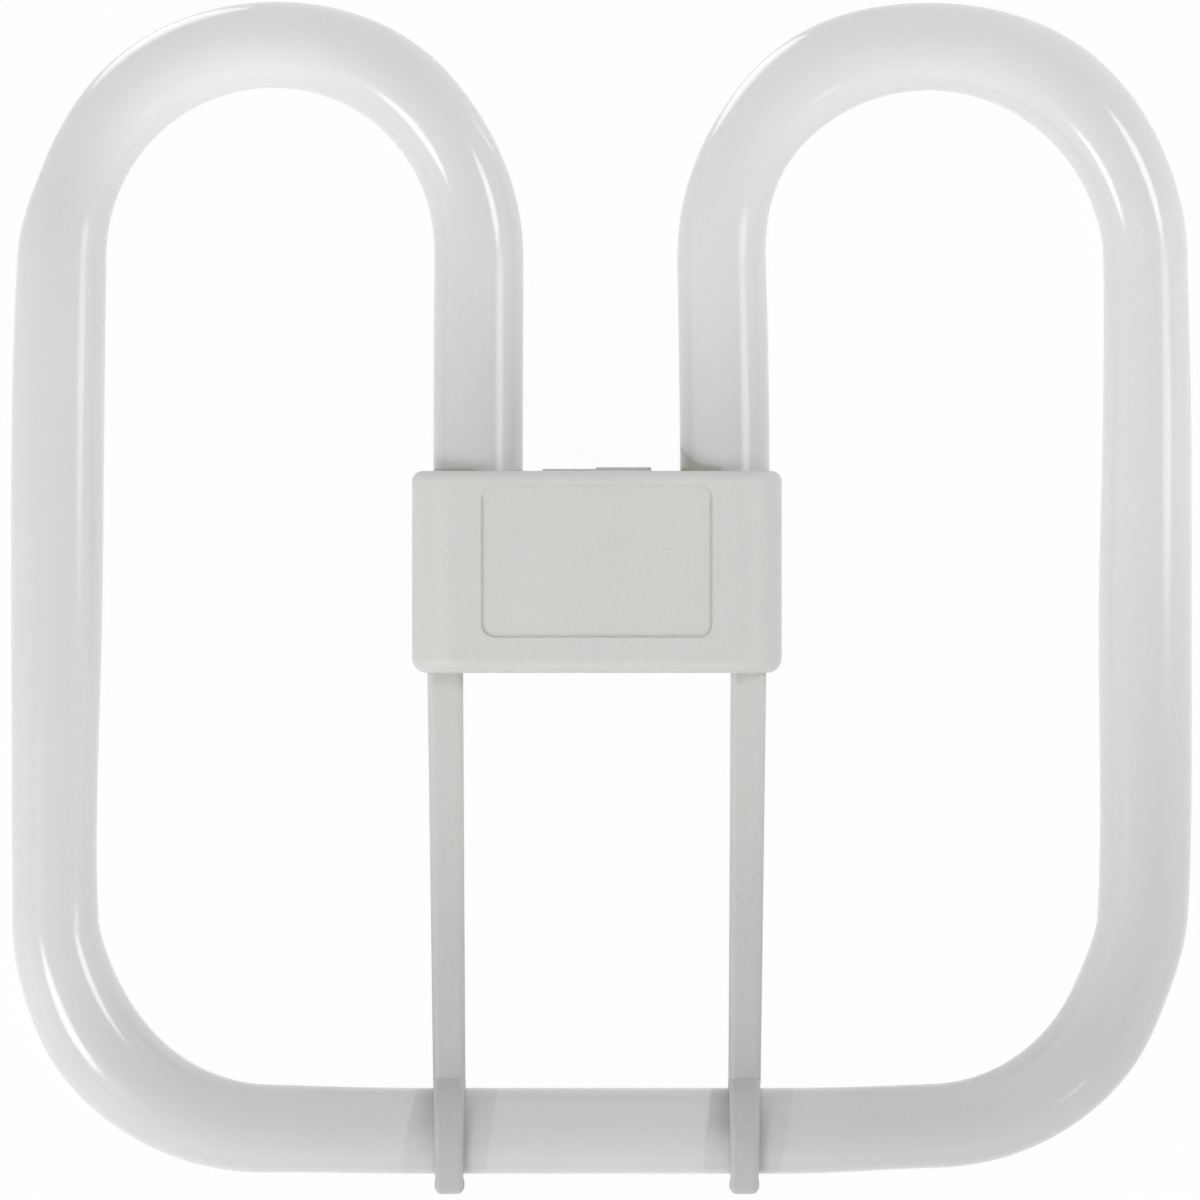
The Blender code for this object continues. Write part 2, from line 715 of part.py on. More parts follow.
def lead_wire(cap, name, points, steel):
    """A bare lead as a thin round wire along a smooth route."""
    curve = bpy.data.curves.new(name, "CURVE")
    curve.dimensions = "3D"
    curve.bevel_depth = LEAD_DIAMETER / 2
    curve.bevel_resolution = LEAD_SIDES
    curve.use_fill_caps = True
    route = smooth_route([Vector(point) for point in points])
    spline = curve.splines.new("POLY")
    spline.points.add(len(route) - 1)
    for point, place in zip(spline.points, route):
        point.co = (*place, 1.0)
    curve.materials.append(steel)
    obj = bpy.data.objects.new(name, curve)
    bpy.context.scene.collection.objects.link(obj)
    obj.parent = cap
    return obj


def lead_wires(cap, steel):
    """Two leads from each seal: the inner to the lower pin, the outer round it to the upper pin."""
    seal = SEAL_TIP - CAP_LIFT - PART_GAP
    tail = -CAP_HALF_DEPTH + CAP_WALL + PART_GAP + FLANGE_THICKNESS + TAIL_LENGTH
    for side, word in ((-1, "left"), (1, "right")):
        leg = side * LEG_X + CAP_SHIFT
        near = leg - side * LEAD_SPACING / 2
        far = leg + side * LEAD_SPACING / 2
        x, y = pin_places()[f"lower_{word}"]
        inner = [
            (near, seal, 0.0),
            (near, seal - 0.002, 0.0),
            (near - side * 0.0035, seal - 0.0035, -0.0005),
            (x + side * 0.0035, y - 0.0040, -0.0010),
            (x + side * 0.0005, y - 0.0005, -0.0015),
            (x, y, tail + 0.001),
            (x, y, tail - LEAD_DIP),
        ]
        lead_wire(cap, f"lead_wire_lower_{word}", inner, steel)
        x, y = pin_places()[f"upper_{word}"]
        outer = [
            (far, seal, 0.0),
            (far, seal - 0.0022, 0.0003),
            (far - side * 0.0050, seal - 0.0045, 0.0015),
            (x + side * 0.0075, y - 0.0140, 0.0025),
            (x + side * 0.0035, y - 0.0050, 0.0022),
            (x + side * 0.0004, y - 0.0004, 0.0),
            (x, y, tail + 0.001),
            (x, y, tail - LEAD_DIP),
        ]
        lead_wire(cap, f"lead_wire_upper_{word}", outer, steel)


def build():
    """Make the whole lamp."""
    clear_scene()
    glass = material("phosphor_glass", (0.75, 0.76, 0.74), 0.25, coat=0.6)
    plastic = material("white_plastic", (0.66, 0.67, 0.65), 0.5)
    brass = material("brass", (0.78, 0.62, 0.32), 0.3, metallic=1.0)
    steel = material("tinned_wire", (0.6, 0.6, 0.58), 0.35, metallic=1.0)
    cement = material("cement", (0.55, 0.53, 0.48), 0.8)

    lamp = frame("lamp_frame", (0.0, (CLIP_DROP - LAMP_TOP) / 2, TUBE_PLANE))
    cap = frame("cap_frame", (-CAP_SHIFT, CAP_LIFT, 0.0), lamp)
    discharge_tube(lamp, glass)
    housing_front(cap, plastic)
    housing_rear(cap, plastic)
    cement_ring(cap, "cement_ring_left", -1, cement)
    cement_ring(cap, "cement_ring_right", 1, cement)
    for name, (x, y) in pin_places().items():
        contact_pin(cap, f"contact_pin_{name}", x, y, brass)
    lead_wires(cap, steel)


if __name__ == "__main__":
    build()
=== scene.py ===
"""Looks of a square compact fluorescent lamp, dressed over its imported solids.

The lamp lies face up on the rim of its cap: +X runs to the right, +Y from the rail to the two
loops and +Z out of the front of the cap. Sizes are in metres.
"""

import logging
import math
from contextlib import contextmanager
from dataclasses import dataclass, field, replace
from enum import Enum
from typing import Callable, Iterator, NamedTuple, Optional, Sequence, Union

import bmesh
import bpy
from mathutils import Matrix, Vector

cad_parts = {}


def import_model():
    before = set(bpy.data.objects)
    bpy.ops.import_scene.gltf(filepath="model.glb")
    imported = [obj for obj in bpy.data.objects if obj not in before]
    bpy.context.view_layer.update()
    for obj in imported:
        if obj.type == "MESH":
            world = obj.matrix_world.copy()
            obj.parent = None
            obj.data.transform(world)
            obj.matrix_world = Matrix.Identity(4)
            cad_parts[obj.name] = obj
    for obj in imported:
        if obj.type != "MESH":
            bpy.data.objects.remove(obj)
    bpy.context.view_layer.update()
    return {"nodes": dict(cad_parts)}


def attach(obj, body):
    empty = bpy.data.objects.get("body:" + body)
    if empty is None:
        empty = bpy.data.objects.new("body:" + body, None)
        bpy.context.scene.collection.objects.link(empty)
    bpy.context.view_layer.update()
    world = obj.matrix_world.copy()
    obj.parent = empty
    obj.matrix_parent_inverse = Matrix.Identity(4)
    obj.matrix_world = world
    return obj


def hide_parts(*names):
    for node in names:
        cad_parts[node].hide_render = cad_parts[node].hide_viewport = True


LOG = logging.getLogger("lamp")

Point = tuple[float, float, float]
Socket = Union[bpy.types.NodeSocket, float]
Test = Callable[[object], bool]

# Two places closer than this, in metres, are one place.
SAME_PLACE = 1e-6
# An edge runs along an axis if its ends lie further apart on it than this, in metres.
LEAST_RUN = 1e-4
# A turn in radians, or a change of girth as a share, that is smaller than this is none.
NO_CHANGE = 1e-9


class Side(Enum):
    """A side of the lamp, as the sign of its X."""

    LEFT = -1
    RIGHT = 1


class Facing(Enum):
    """One of the cap's two shells, as the sign of its Z from the joint."""

    REAR = -1
    FRONT = 1


class Element(Enum):
    """What a selection is made of: the operator's select mode and the mesh's own list."""

    VERTICES = ("VERT", "verts")
    EDGES = ("EDGE", "edges")
    FACES = ("FACE", "faces")


class Join(Enum):
    """What a Boolean modifier does with its tool."""

    ADD = "UNION"
    CUT = "DIFFERENCE"


class Axis(Enum):
    """The axis that a primitive stands along, as the turn that takes it there from Z."""

    X = (0.0, math.pi / 2, 0.0)
    Y = (-math.pi / 2, 0.0, 0.0)
    Z = (0.0, 0.0, 0.0)

    @property
    def index(self) -> int:
        """Which of a place's three numbers belongs to the axis."""
        return "XYZ".index(self.name)


def ease(start: float, end: float, share: float) -> float:
    """Leave one value and reach another without a kink.

    Args:
        start: The value at share 0.
        end: The value at share 1.
        share: How far along, from 0 to 1.

    Returns:
        The value at that share.
    """
    return start + (end - start) * (1 - math.cos(math.pi * share)) / 2


def shares(count: int) -> list[float]:
    """Equal steps from just above 0 up to 1."""
    return [(i + 1) / count for i in range(count)]


def near(axis: Axis, level: float, within: float = SAME_PLACE) -> Test:
    """A test for a vertex that stands at one level of an axis."""
    i = axis.index
    return lambda vertex: abs(vertex.co[i] - level) < within


def flat(axis: Axis, level: float) -> Test:
    """A test for an edge or a face that lies whole at one level of an axis."""
    there = near(axis, level)
    return lambda item: all(there(vertex) for vertex in item.verts)


def runs(axis: Axis) -> Test:
    """A test for an edge that runs along an axis."""
    i = axis.index
    return lambda edge: abs(edge.verts[0].co[i] - edge.verts[1].co[i]) > LEAST_RUN


class Bench:
    """The modelling operators, each on a selection made in code."""

    @staticmethod
    def only(piece: bpy.types.Object) -> None:
        """Select and activate one piece alone.

        Args:
            piece: The piece.
        """
        Bench.clear()
        bpy.context.view_layer.objects.active = piece
        piece.select_set(True)

    @staticmethod
    def clear() -> None:
        """Deselect everything, so that a new primitive starts alone."""
        for other in bpy.context.selected_objects:
            other.select_set(False)
        bpy.context.view_layer.objects.active = None

    @staticmethod
    def settle(name: str) -> bpy.types.Object:
        """Name the new primitive and put its place, turn and scale into its mesh.

        Args:
            name: The piece's name.

        Returns:
            The piece, with its object at the origin.
        """
        piece = bpy.context.view_layer.objects.active
        piece.name = name
        piece.data.name = name
        Bench.only(piece)
        bpy.ops.object.transform_apply(location=True, rotation=True, scale=True)
        return piece

    @staticmethod
    def block(name: str, low: Point, high: Point) -> bpy.types.Object:
        """Add a box between two corners.

        Args:
            name: The piece's name.
            low: The corner with the lowest numbers.
            high: The corner with the highest numbers.

        Returns:
            The box.
        """
        Bench.clear()
        middle = [(a + b) / 2 for a, b in zip(low, high)]
        size = [b - a for a, b in zip(low, high)]
        bpy.ops.mesh.primitive_cube_add(size=1.0, location=middle, scale=size)
        return Bench.settle(name)

    @staticmethod
    def bar(
        name: str, radius: float, start: Point, length: float, axis: Axis, sides: int
    ) -> bpy.types.Object:
        """Add a round bar.

        Args:
            name: The piece's name.
            radius: The bar's radius.
            start: The middle of its lower end.
            length: How far it runs from there along the axis.
            axis: The axis that it runs along.
            sides: How many sides it has.

        Returns:
            The bar.
        """
        Bench.clear()
        along = Vector((axis is Axis.X, axis is Axis.Y, axis is Axis.Z)) * length / 2
        bpy.ops.mesh.primitive_cylinder_add(
            vertices=sides,
            radius=radius,
            depth=length,
            end_fill_type="NGON",
            location=Vector(start) + along,
            rotation=axis.value,
        )
        return Bench.settle(name)

    @staticmethod
    @contextmanager
    def editing(piece: bpy.types.Object) -> Iterator[None]:
        """Edit mode on one piece, with nothing of it selected at the start.

        Args:
            piece: The piece.

        Returns:
            A context that leaves edit mode at its end.
        """
        Bench.only(piece)
        bpy.ops.object.mode_set(mode="EDIT")
        bpy.ops.mesh.select_all(action="DESELECT")
        yield
        bpy.ops.object.mode_set(mode="OBJECT")

    @staticmethod
    def pick(element: Element, *tests: Test) -> None:
        """Select the vertices, edges or faces that pass every test, and nothing else.

        Args:
            element: What the selection is made of.
            tests: Each says of one vertex, edge or face whether it may belong.
        """
        mode, layer = element.value
        bpy.ops.mesh.select_mode(type=mode)
        bpy.ops.mesh.select_all(action="DESELECT")
        mesh = bpy.context.view_layer.objects.active.data
        shape = bmesh.from_edit_mesh(mesh)
        for item in getattr(shape, layer):
            if all(test(item) for test in tests):
                item.select_set(True)
        shape.select_flush_mode()
        bmesh.update_edit_mesh(mesh, loop_triangles=False, destructive=False)

    @staticmethod
    def extrude(move: Sequence[float] = (0.0, 0.0, 0.0)) -> None:
        """Extrude the selection and move what is new."""
        bpy.ops.mesh.extrude_region_move(TRANSFORM_OT_translate={"value": tuple(move)})

    @staticmethod
    def turn(angle: float, axis: Axis, centre: Sequence[float]) -> None:
        """Turn the selection by the right-hand rule; with no window the operator turns the other way."""
        bpy.ops.transform.rotate(value=-angle, orient_axis=axis.name, center_override=tuple(centre))

    @staticmethod
    def resize(scale: Sequence[float], centre: Sequence[float]) -> None:
        """Scale the selection about a place."""
        bpy.ops.transform.resize(value=tuple(scale), center_override=tuple(centre))

    @staticmethod
    def round_off(width: float, segments: int, corners: bool = False) -> None:
        """Bevel the selection to a round.

        Args:
            width: How far the round reaches from the edge on each side.
            segments: How many faces it has.
            corners: Whether vertices are rounded off and not edges.
        """
        bpy.ops.mesh.bevel(
            offset=width,
            offset_type="OFFSET",
            segments=segments,
            profile=0.5,
            affect="VERTICES" if corners else "EDGES",
            clamp_overlap=False,
        )

    @staticmethod
    def apply(piece: bpy.types.Object, kind: str, **settings: object) -> None:
        """Put a modifier on a piece and apply it.

        Args:
            piece: The piece.
            kind: The modifier's type.
            settings: Its properties by name.
        """
        Bench.only(piece)
        modifier = piece.modifiers.new(kind.lower(), kind)
        for name, value in settings.items():
            setattr(modifier, name, value)
        bpy.ops.object.modifier_apply(modifier=modifier.name)

    @staticmethod
    def combine(piece: bpy.types.Object, tool: bpy.types.Object, how: Join) -> None:
        """Join a tool to a piece or cut it out, and take the tool away."""
        Bench.apply(piece, "BOOLEAN", operation=how.value, solver="EXACT", object=tool)
        bpy.data.objects.remove(tool, do_unlink=True)

    @staticmethod
    def face_out(piece: bpy.types.Object) -> None:
        """Merge doubles and make every face point outwards.

        Args:
            piece: The piece.
        """
        with Bench.editing(piece):
            bpy.ops.mesh.select_all(action="SELECT")
            bpy.ops.mesh.remove_doubles(threshold=SAME_PLACE)
            bpy.ops.mesh.normals_make_consistent(inside=False)

    @staticmethod
    def smooth(piece: bpy.types.Object, crease: float, weighted: bool = True) -> None:
        """Shade smooth up to a crease, with wide faces kept flat where asked.

        Args:
            piece: The piece.
            crease: The angle in degrees from which an edge stays crisp.
            weighted: Whether the wide faces govern the normals beside them.
        """
        Bench.only(piece)
        bpy.ops.object.shade_smooth_by_angle(angle=math.radians(crease), keep_sharp_edges=True)
        if weighted:
            Bench.apply(piece, "WEIGHTED_NORMAL", mode="FACE_AREA", weight=50, keep_sharp=True)

    @staticmethod
    def copy(piece: bpy.types.Object, name: str, move: Sequence[float]) -> bpy.types.Object:
        """Copy a piece with its own mesh, moved to its own place.

        Args:
            piece: The piece.
            name: The copy's name.
            move: How far the copy stands from the piece.

        Returns:
            The copy.
        """
        twin = piece.copy()
        twin.data = piece.data.copy()
        twin.name = name
        twin.data.name = name
        bpy.context.scene.collection.objects.link(twin)
        twin.location = move
        Bench.only(twin)
        bpy.ops.object.transform_apply(location=True, rotation=False, scale=False)
        return twin


class Graph:
    """A node tree that grows node by node."""

    def __init__(self, tree: bpy.types.NodeTree) -> None:
        """Take over a node tree."""
        self.tree = tree

    def feed(self, socket: bpy.types.NodeSocket, value: object) -> None:
        """Link an output to a socket, or set the socket's own value.

        Args:
            socket: The input.
            value: The output that is linked to it, or the plain value.
        """
        if isinstance(value, bpy.types.NodeSocket):
            self.tree.links.new(value, socket)
        else:
            socket.default_value = value

    def add(
        self, kind: str, inputs: Optional[dict[str, object]] = None, **settings: object
    ) -> bpy.types.Node:
        """Add a node.

        Args:
            kind: The node's type.
            inputs: Values or links by the input's name or number.
            settings: The node's properties by name.

        Returns:
            The node.
        """
        node = self.tree.nodes.new(kind)
        for name, value in settings.items():
            setattr(node, name, value)
        for name, value in (inputs or {}).items():
            self.feed(node.inputs[name], value)
        return node

    def math(
        self, operation: str, first: Socket, second: Socket = 0.0, clamp: bool = False
    ) -> bpy.types.NodeSocket:
        """Combine two values."""
        node = self.add("ShaderNodeMath", {0: first, 1: second}, operation=operation, use_clamp=clamp)
        return node.outputs[0]

    def span(
        self, value: Socket, low: float, high: float, at_low: float = 0.0, at_high: float = 1.0
    ) -> bpy.types.NodeSocket:
        """Map a value from one span to another with soft ends.

        Args:
            value: The value.
            low: Where its span starts.
            high: Where its span ends.
            at_low: The result at the start.
            at_high: The result at the end.

        Returns:
            The mapped value.
        """
        node = self.add(
            "ShaderNodeMapRange",
            {"Value": value, "From Min": low, "From Max": high, "To Min": at_low, "To Max": at_high},
            interpolation_type="SMOOTHSTEP",
        )
        return node.outputs["Result"]

    def noise(self, place: Socket, scale: Socket, detail: float) -> bpy.types.NodeSocket:
        """A noise value between 0 and 1, with its scale in cells per metre."""
        node = self.add("ShaderNodeTexNoise", {"Vector": place, "Scale": scale, "Detail": detail})
        return node.outputs["Fac"]

    def blend(
        self, factor: Socket, first: object, second: object, mode: str = "MIX"
    ) -> bpy.types.NodeSocket:
        """Mix two colours.

        Args:
            factor: The second colour's share.
            first: The first colour.
            second: The second colour.
            mode: How they are mixed.

        Returns:
            The mixed colour.
        """
        node = self.add("ShaderNodeMix", data_type="RGBA", blend_type=mode, clamp_factor=True)
        self.feed(node.inputs["Factor"], factor)
        for name, value in (("A", first), ("B", second)):
            socket = next(s for s in node.inputs if s.name == name and s.type == "RGBA")
            self.feed(socket, value)
        return next(s for s in node.outputs if s.type == "RGBA")

    def stretch(self, place: Socket, scale: Point) -> bpy.types.NodeSocket:
        """Stretch a pattern's space along its axes."""
        node = self.add("ShaderNodeMapping", {"Vector": place, "Scale": scale})
        return node.outputs["Vector"]


class Groups:
    """The shader node groups that more than one finish places.

    A smudge starts and is full at two levels of the noise that scatters it.
    """

    smudge_start: float = 0.56
    smudge_full: float = 0.78

    def __init__(self) -> None:
        """Build each group once."""
        self.mottle = self.make_mottle()
        self.grime = self.make_grime()

    @staticmethod
    def open_group(name: str, values: dict[str, float], outputs: Sequence[str]) -> bpy.types.NodeTree:
        """Make an empty group with its sockets.

        Args:
            name: The group's name.
            values: Name and default of each input after Place.
            outputs: Name of each output, all of them values.

        Returns:
            The group's node tree.
        """
        tree = bpy.data.node_groups.new(name, "ShaderNodeTree")
        tree.interface.new_socket("Place", in_out="INPUT", socket_type="NodeSocketVector")
        for label, value in values.items():
            socket = tree.interface.new_socket(label, in_out="INPUT", socket_type="NodeSocketFloat")
            socket.default_value = value
        for label in outputs:
            tree.interface.new_socket(label, in_out="OUTPUT", socket_type="NodeSocketFloat")
        return tree

    def make_mottle(self) -> bpy.types.NodeTree:
        """Cloudy and fine variation: Tone multiplies a colour, Relief is a height from 0 to 1.

        Returns:
            The group's node tree.
        """
        defaults = {"Cloud Scale": 30.0, "Cloud Amount": 0.03, "Grain Scale": 900.0, "Grain Amount": 0.02}
        tree = self.open_group("mottle", defaults, ["Tone", "Relief"])
        graph = Graph(tree)
        inside = graph.add("NodeGroupInput").outputs
        cloud = graph.noise(inside["Place"], inside["Cloud Scale"], detail=3.0)
        grain = graph.add(
            "ShaderNodeTexNoise",
            {"Vector": inside["Place"], "Scale": inside["Grain Scale"], "Detail": 2.0, "Roughness": 0.6},
        ).outputs["Fac"]
        soft = graph.math("MULTIPLY", graph.math("SUBTRACT", cloud, 0.5), inside["Cloud Amount"])
        fine = graph.math("MULTIPLY", graph.math("SUBTRACT", grain, 0.5), inside["Grain Amount"])
        tone = graph.math("ADD", graph.math("ADD", soft, fine), 1.0)
        graph.add("NodeGroupOutput", {"Tone": tone, "Relief": grain})
        return tree

    def make_grime(self) -> bpy.types.NodeTree:
        """Handling marks: Mask is 0 on clean ground and up to the amount in scattered soft smudges.

        Returns:
            The group's node tree.
        """
        tree = self.open_group("handling_marks", {"Scale": 120.0, "Amount": 0.3}, ["Mask"])
        graph = Graph(tree)
        inside = graph.add("NodeGroupInput").outputs
        smudge = graph.add(
            "ShaderNodeTexNoise",
            {
                "Vector": inside["Place"],
                "Scale": inside["Scale"],
                "Detail": 5.0,
                "Roughness": 0.65,
                "Distortion": 0.6,
            },
        ).outputs["Fac"]
        strength = graph.span(smudge, self.smudge_start, self.smudge_full)
        mask = graph.math("MULTIPLY", strength, inside["Amount"])
        graph.add("NodeGroupOutput", {"Mask": mask})
        return tree


class Mottling(NamedTuple):
    """Cloudy and fine variation: scales in cells per metre, amounts as shares of the tone."""

    cloud_scale: float
    cloud_amount: float
    grain_scale: float
    grain_amount: float


class Handling(NamedTuple):
    """Handling marks: scale in cells per metre and amount."""

    scale: float
    amount: float


class Relief(NamedTuple):
    """A bump: its strength and its height in metres."""

    strength: float
    height: float


class Surface:
    """A material while its finish is built: its shader, its nodes and the place on the piece."""

    def __init__(self, material: bpy.types.Material, groups: Groups) -> None:
        """Take over a new material.

        Args:
            material: The material.
            groups: The shared node groups.
        """
        material.use_nodes = True
        self.groups = groups
        self.graph = Graph(material.node_tree)
        self.shader = material.node_tree.nodes["Principled BSDF"]
        self.place = self.graph.add("ShaderNodeTexCoord").outputs["Object"]

    def feed(self, name: str, value: object) -> None:
        """Link an output to one of the shader's inputs, or set the input's own value."""
        self.graph.feed(self.shader.inputs[name], value)

    def attribute(self, name: str) -> bpy.types.NodeSocket:
        """A value that the mesh carries at its vertices."""
        return self.graph.add("ShaderNodeAttribute", attribute_name=name).outputs["Fac"]

    def noise(self, scale: float, detail: float) -> bpy.types.NodeSocket:
        """A noise value over the piece, with its scale in cells per metre."""
        return self.graph.noise(self.place, scale, detail)

    def mottle(self, values: Mottling) -> bpy.types.NodeOutputs:
        """Place the shared mottle with a finish's own values.

        Args:
            values: Scales and amounts.

        Returns:
            The outputs Tone and Relief.
        """
        inputs = {
            "Place": self.place,
            "Cloud Scale": values.cloud_scale,
            "Cloud Amount": values.cloud_amount,
            "Grain Scale": values.grain_scale,
            "Grain Amount": values.grain_amount,
        }
        return self.graph.add("ShaderNodeGroup", inputs, node_tree=self.groups.mottle).outputs

    def marks(self, values: Handling) -> bpy.types.NodeSocket:
        """The mask of the shared handling marks, placed with a finish's own values."""
        inputs = {"Place": self.place, "Scale": values.scale, "Amount": values.amount}
        return self.graph.add("ShaderNodeGroup", inputs, node_tree=self.groups.grime).outputs["Mask"]

    def emboss(self, height: Socket, relief: Relief) -> None:
        """Give the shader a bump from a height of 0 to 1."""
        inputs = {"Height": height, "Strength": relief.strength, "Distance": relief.height}
        self.feed("Normal", self.graph.add("ShaderNodeBump", inputs).outputs["Normal"])

    def dull(self, mask: Socket, share: float, base: float) -> None:
        """Make the shader rougher than its base under a mask, by a share of it."""
        self.feed("Roughness", self.graph.math("ADD", self.graph.math("MULTIPLY", mask, share), base))


@dataclass(frozen=True)
class Finish:
    """What every finish has: its name and the plain values of its shader."""

    name: str
    colour: Point
    roughness: float
    metallic: float = 0.0
    coat: float = 0.0
    coat_roughness: float = 0.05
    ior: float = 1.5

    def make(self, groups: Groups) -> bpy.types.Material:
        """Build the material.

        Args:
            groups: The shared node groups.

        Returns:
            The material, with its variation and relief.
        """
        material = bpy.data.materials.new(self.name)
        surface = Surface(material, groups)
        surface.feed("Base Color", (*self.colour, 1.0))
        surface.feed("Roughness", self.roughness)
        surface.feed("Metallic", self.metallic)
        surface.feed("Coat Weight", self.coat)
        surface.feed("Coat Roughness", self.coat_roughness)
        surface.feed("IOR", self.ior)
        self.detail(surface)
        return material

    def detail(self, surface: Surface) -> None:
        """Add the finish's own variation to its shader, which each finish does in its own way."""
        raise NotImplementedError

    def toned(self, surface: Surface, tone: Socket) -> bpy.types.NodeSocket:
        """The finish's colour multiplied by a grey tone."""
        grey = surface.graph.add("ShaderNodeCombineColor", {0: tone, 1: tone, 2: tone}).outputs[0]
        return surface.graph.blend(1.0, (*self.colour, 1.0), grey, "MULTIPLY")


@dataclass(frozen=True)
class PhosphorGlass(Finish):
    """Clear glass over a matt white coat, whose tone varies along the tube and which stops at the cap.

    The mesh carries four attributes: the coat's tone along the tube, which holds painted light and
    shade; how far past the coat's edge, or past a painted contact shadow line above the cap, a place
    lies; how far inside a painted clip shadow a place lies; and how deep that shadow is.
    """

    name: str = "phosphor_glass"
    colour: Point = (0.75, 0.755, 0.736)
    roughness: float = 0.5
    coat: float = 1.0
    coat_roughness: float = 0.14
    # Uncoated glass where the coat stops, also used for the painted contact shadow line on the left leg.
    uncoated_and_shadow_colour: Point = (0.47, 0.47, 0.42)
    powder_gloss: float = 0.1
    mottling: Mottling = Mottling(
        cloud_scale=34.0, cloud_amount=0.07, grain_scale=1500.0, grain_amount=0.06
    )
    handling: Handling = Handling(scale=60.0, amount=0.10)
    dulling: float = 1.0
    drawn_scale: float = 55.0
    drawn_relief: Relief = Relief(strength=0.25, height=0.0004)
    ragged_scale: float = 420.0
    ragged_edge: float = 0.4
    attributes: tuple[str, ...] = ("coat_density", "coat_edge", "clip_mark", "clip_mark_depth")

    def detail(self, surface: Surface) -> None:
        """Coat tone along the tube with its painted light and shade, painted shadows beside the clips,
        clouds and grain in the coat, and its ragged edge and painted shadow line at the cap.

        Args:
            surface: The glass's material.
        """
        graph = surface.graph
        density, edge, mark, depth = (surface.attribute(name) for name in self.attributes)
        ragged = graph.math("SUBTRACT", surface.noise(self.ragged_scale, detail=3.0), 0.5)
        # Painted shadow beside each clip: inside its band the coat's tone drops by the band's depth.
        marked = graph.span(graph.math("ADD", mark, ragged), 0.0, 1.0)
        darkened = graph.math("SUBTRACT", 1.0, graph.math("MULTIPLY", marked, depth))
        clouds = surface.mottle(self.mottling)["Tone"]
        # Painted light and shade: the coat's tone along the tube is darker towards the rail and near the
        # cap.
        tone = graph.math("MULTIPLY", clouds, graph.math("MULTIPLY", density, darkened))
        coated = self.toned(surface, tone)
        # Past the line the uncoated colour: the coat's real end on the right leg, a painted contact shadow
        # line on the left.
        past_line = graph.math("ADD", edge, graph.math("MULTIPLY", ragged, self.ragged_edge), clamp=True)
        surface.feed("Base Color", graph.blend(past_line, coated, (*self.uncoated_and_shadow_colour, 1.0)))
        surface.dull(surface.marks(self.handling), self.dulling, self.roughness)
        surface.feed("Specular IOR Level", self.powder_gloss)
        surface.emboss(surface.noise(self.drawn_scale, detail=2.0), self.drawn_relief)


@dataclass(frozen=True)
class MouldedPlastic(Finish):
    """White moulded plastic with a fine spark-eroded texture, which handling has polished."""

    name: str = "white_plastic"
    colour: Point = (0.64, 0.65, 0.626)
    roughness: float = 0.46
    mottling: Mottling = Mottling(
        cloud_scale=55.0, cloud_amount=0.08, grain_scale=1700.0, grain_amount=0.14
    )
    handling: Handling = Handling(scale=140.0, amount=0.12)
    dulling: float = -1.0
    mark_shade: float = 0.25
    relief: Relief = Relief(strength=0.35, height=0.00005)
    shade_attribute: str = "thin_wall"
    # Painted shade: the arms a little and the clips much darker, as the light falls off towards the rail.
    arm_and_clip_shade_depth: float = 0.28

    def detail(self, surface: Surface) -> None:
        """Faint clouds, the grain of the mould, a few handling marks, and painted shade that greys the
        arms and darkens the clips.

        Args:
            surface: The plastic's material.
        """
        graph = surface.graph
        mottle = surface.mottle(self.mottling)
        marks = surface.marks(self.handling)
        shade_share = surface.attribute(self.shade_attribute)
        darkened = graph.math("SUBTRACT", mottle["Tone"], graph.math("MULTIPLY", marks, self.mark_shade))
        # Painted shade on the arms and clips, taken from the tone after the handling marks.
        darkened = graph.math("SUBTRACT", darkened, graph.math("MULTIPLY", shade_share, self.arm_and_clip_shade_depth))
        surface.feed("Base Color", self.toned(surface, darkened))
        surface.dull(marks, self.dulling, self.roughness)
        surface.emboss(mottle["Relief"], self.relief)


@dataclass(frozen=True)
class BareMetal(Finish):
    """Metal that has gone darker and duller in patches."""

    metallic: float = 1.0
    tarnish: Point = (0.36, 0.36, 0.36)
    handling: Handling = Handling(scale=900.0, amount=0.5)
    dulling: float = 0.3

    def detail(self, surface: Surface) -> None:
        """Patches of tarnish.

        Args:
            surface: The metal's material.
        """
        marks = surface.marks(self.handling)
        patched = surface.graph.blend(marks, (*self.colour, 1.0), (*self.tarnish, 1.0))
        surface.feed("Base Color", patched)
        surface.dull(marks, self.dulling, self.roughness)


@dataclass(frozen=True)
class TurnedBrass(BareMetal):
    """Brass from the lathe, with fine rings and a little tarnish."""

    name: str = "turned_brass"
    colour: Point = (0.72, 0.55, 0.27)
    roughness: float = 0.26
    tarnish: Point = (0.38, 0.27, 0.13)
    handling: Handling = Handling(scale=420.0, amount=0.6)
    dulling: float = 0.35
    ring_scale: Point = (60.0, 60.0, 9000.0)
    relief: Relief = Relief(strength=0.2, height=0.00003)

    def detail(self, surface: Surface) -> None:
        """The tarnish, and rings round the pin from the tool.

        Args:
            surface: The brass's material.
        """
        super().detail(surface)
        stretched = surface.graph.stretch(surface.place, self.ring_scale)
        surface.emboss(surface.graph.noise(stretched, scale=1.0, detail=2.0), self.relief)


@dataclass(frozen=True)
class TinnedWire(BareMetal):
    """Bare wire with a dull, uneven tin coat."""

    name: str = "tinned_wire"
    colour: Point = (0.62, 0.62, 0.60)
    roughness: float = 0.36


